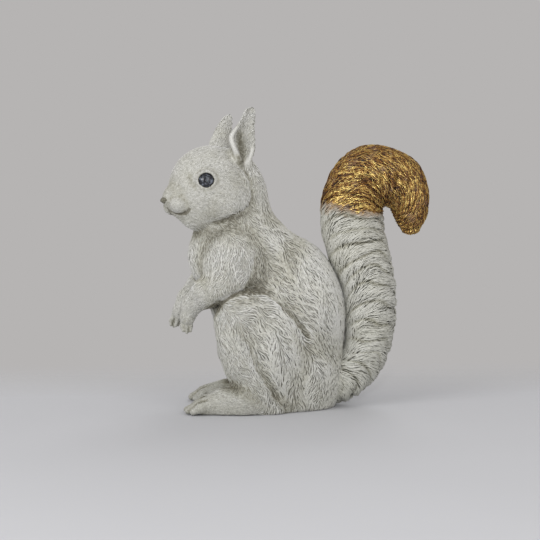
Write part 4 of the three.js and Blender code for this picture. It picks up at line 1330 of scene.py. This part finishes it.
def add_nose():
    """A ball that narrows and slants back below, pressed in at its two nostrils and along a cleft."""
    points, faces = globe(1, 40, 56)
    x, y, z = points.T
    below = np.clip(-z, 0, 1)
    dent = sum(np.exp(-((x + 0.6) ** 2 + (y - side * 0.66) ** 2 + (z + 0.05) ** 2) / 0.05)
               for side in (LEFT, RIGHT))
    cleft = np.exp(-(y / 0.12) ** 2) * np.clip(-x, 0, 1) * np.clip(0.4 - z, 0, 1)
    x, y, z = points.T * (1 - 0.24 * dent - 0.12 * cleft)
    points = np.stack([3.9 * x + 2.8 * below, 4.6 * y * (1 - 0.75 * below), 3.3 * z], -1)
    made = piece("nose_pad", on_head(points + [-42.6, 0, -8.2]), faces, NOSE_WASH)
    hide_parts("nose")


add_nose()

# ---- floor and light ----

FLOOR_FADE = (0.05, 0.22)  # metres behind the figure between which the floor fades out
FLOOR_EDGE = (0.5, 0.85)  # and metres from its middle
FLOOR_DROP = 0.0001  # of the floor under the feet


def add_floor():
    """A pale matt floor that fades out behind the figure and some way round it."""
    s = Shader("floor_pale")
    away = s.node("ShaderNodeVectorMath")
    away.operation = "LENGTH"
    s.set(away.inputs[0], s.coordinates)
    y = s.node("ShaderNodeSeparateXYZ", Vector=s.coordinates).outputs["Y"]
    ranges = (y, *FLOOR_FADE), (away.outputs["Value"], *FLOOR_EDGE)
    fade, edge = (
        s.node("ShaderNodeMapRange", Value=value, From_Min=near, From_Max=far, To_Min=1, To_Max=0)
        for value, near, far in ranges
    )
    alpha = s.math("MULTIPLY", fade.outputs[0], edge.outputs[0])
    tone = s.ramp(s.noise(3, 2, 0.5), (0.3, (0.555, 0.56, 0.58)), (0.7, (0.575, 0.58, 0.6)))
    s.surface(Base_Color=tone, Roughness=0.4, Specular_IOR_Level=0, Alpha=alpha)
    mesh = bpy.data.meshes.new("floor")
    mesh.from_pydata([(-3, -3, 0), (3, -3, 0), (3, 0.4, 0), (-3, 0.4, 0)], [], [(0, 1, 2, 3)])
    mesh.materials.append(s.material)
    floor = bpy.data.objects.new("floor", mesh)
    bpy.context.scene.collection.objects.link(floor)
    floor.location.z = -FLOOR_DROP


add_floor()


def add_light(name, place, aim, size, power):
    """A round lamp, aimed from its place at another one."""
    data = bpy.data.lights.new(name, "AREA")
    data.shape = "DISK"
    data.size = size
    data.energy = power
    light = bpy.data.objects.new(name, data)
    light.location = place
    light.rotation_euler = (Vector(place) - Vector(aim)).to_track_quat("Z", "Y").to_euler()
    bpy.context.scene.collection.objects.link(light)


add_light("key", (-1.15, -1.0, 0.8), (0, 0, 0.1), 1.0, 9.8)
add_light("catch", (-0.14, -1.37, 0.36), (-0.03, 0, 0.12), 0.06, 5.5)
add_light("fill", (0.6, -1.3, 0.9), (0, 0, 0.1), 1.3, 5.5)
add_light("rim", (0.4, 1.2, 1.2), (0, 0, 0.1), 1.0, 7)

world = bpy.data.worlds.new("studio")
world.use_nodes = True
world.node_tree.nodes["Background"].inputs["Color"].default_value = (0.468, 0.456, 0.451, 1)
bpy.context.scene.world = world
bpy.context.scene.view_settings.view_transform = "Standard"
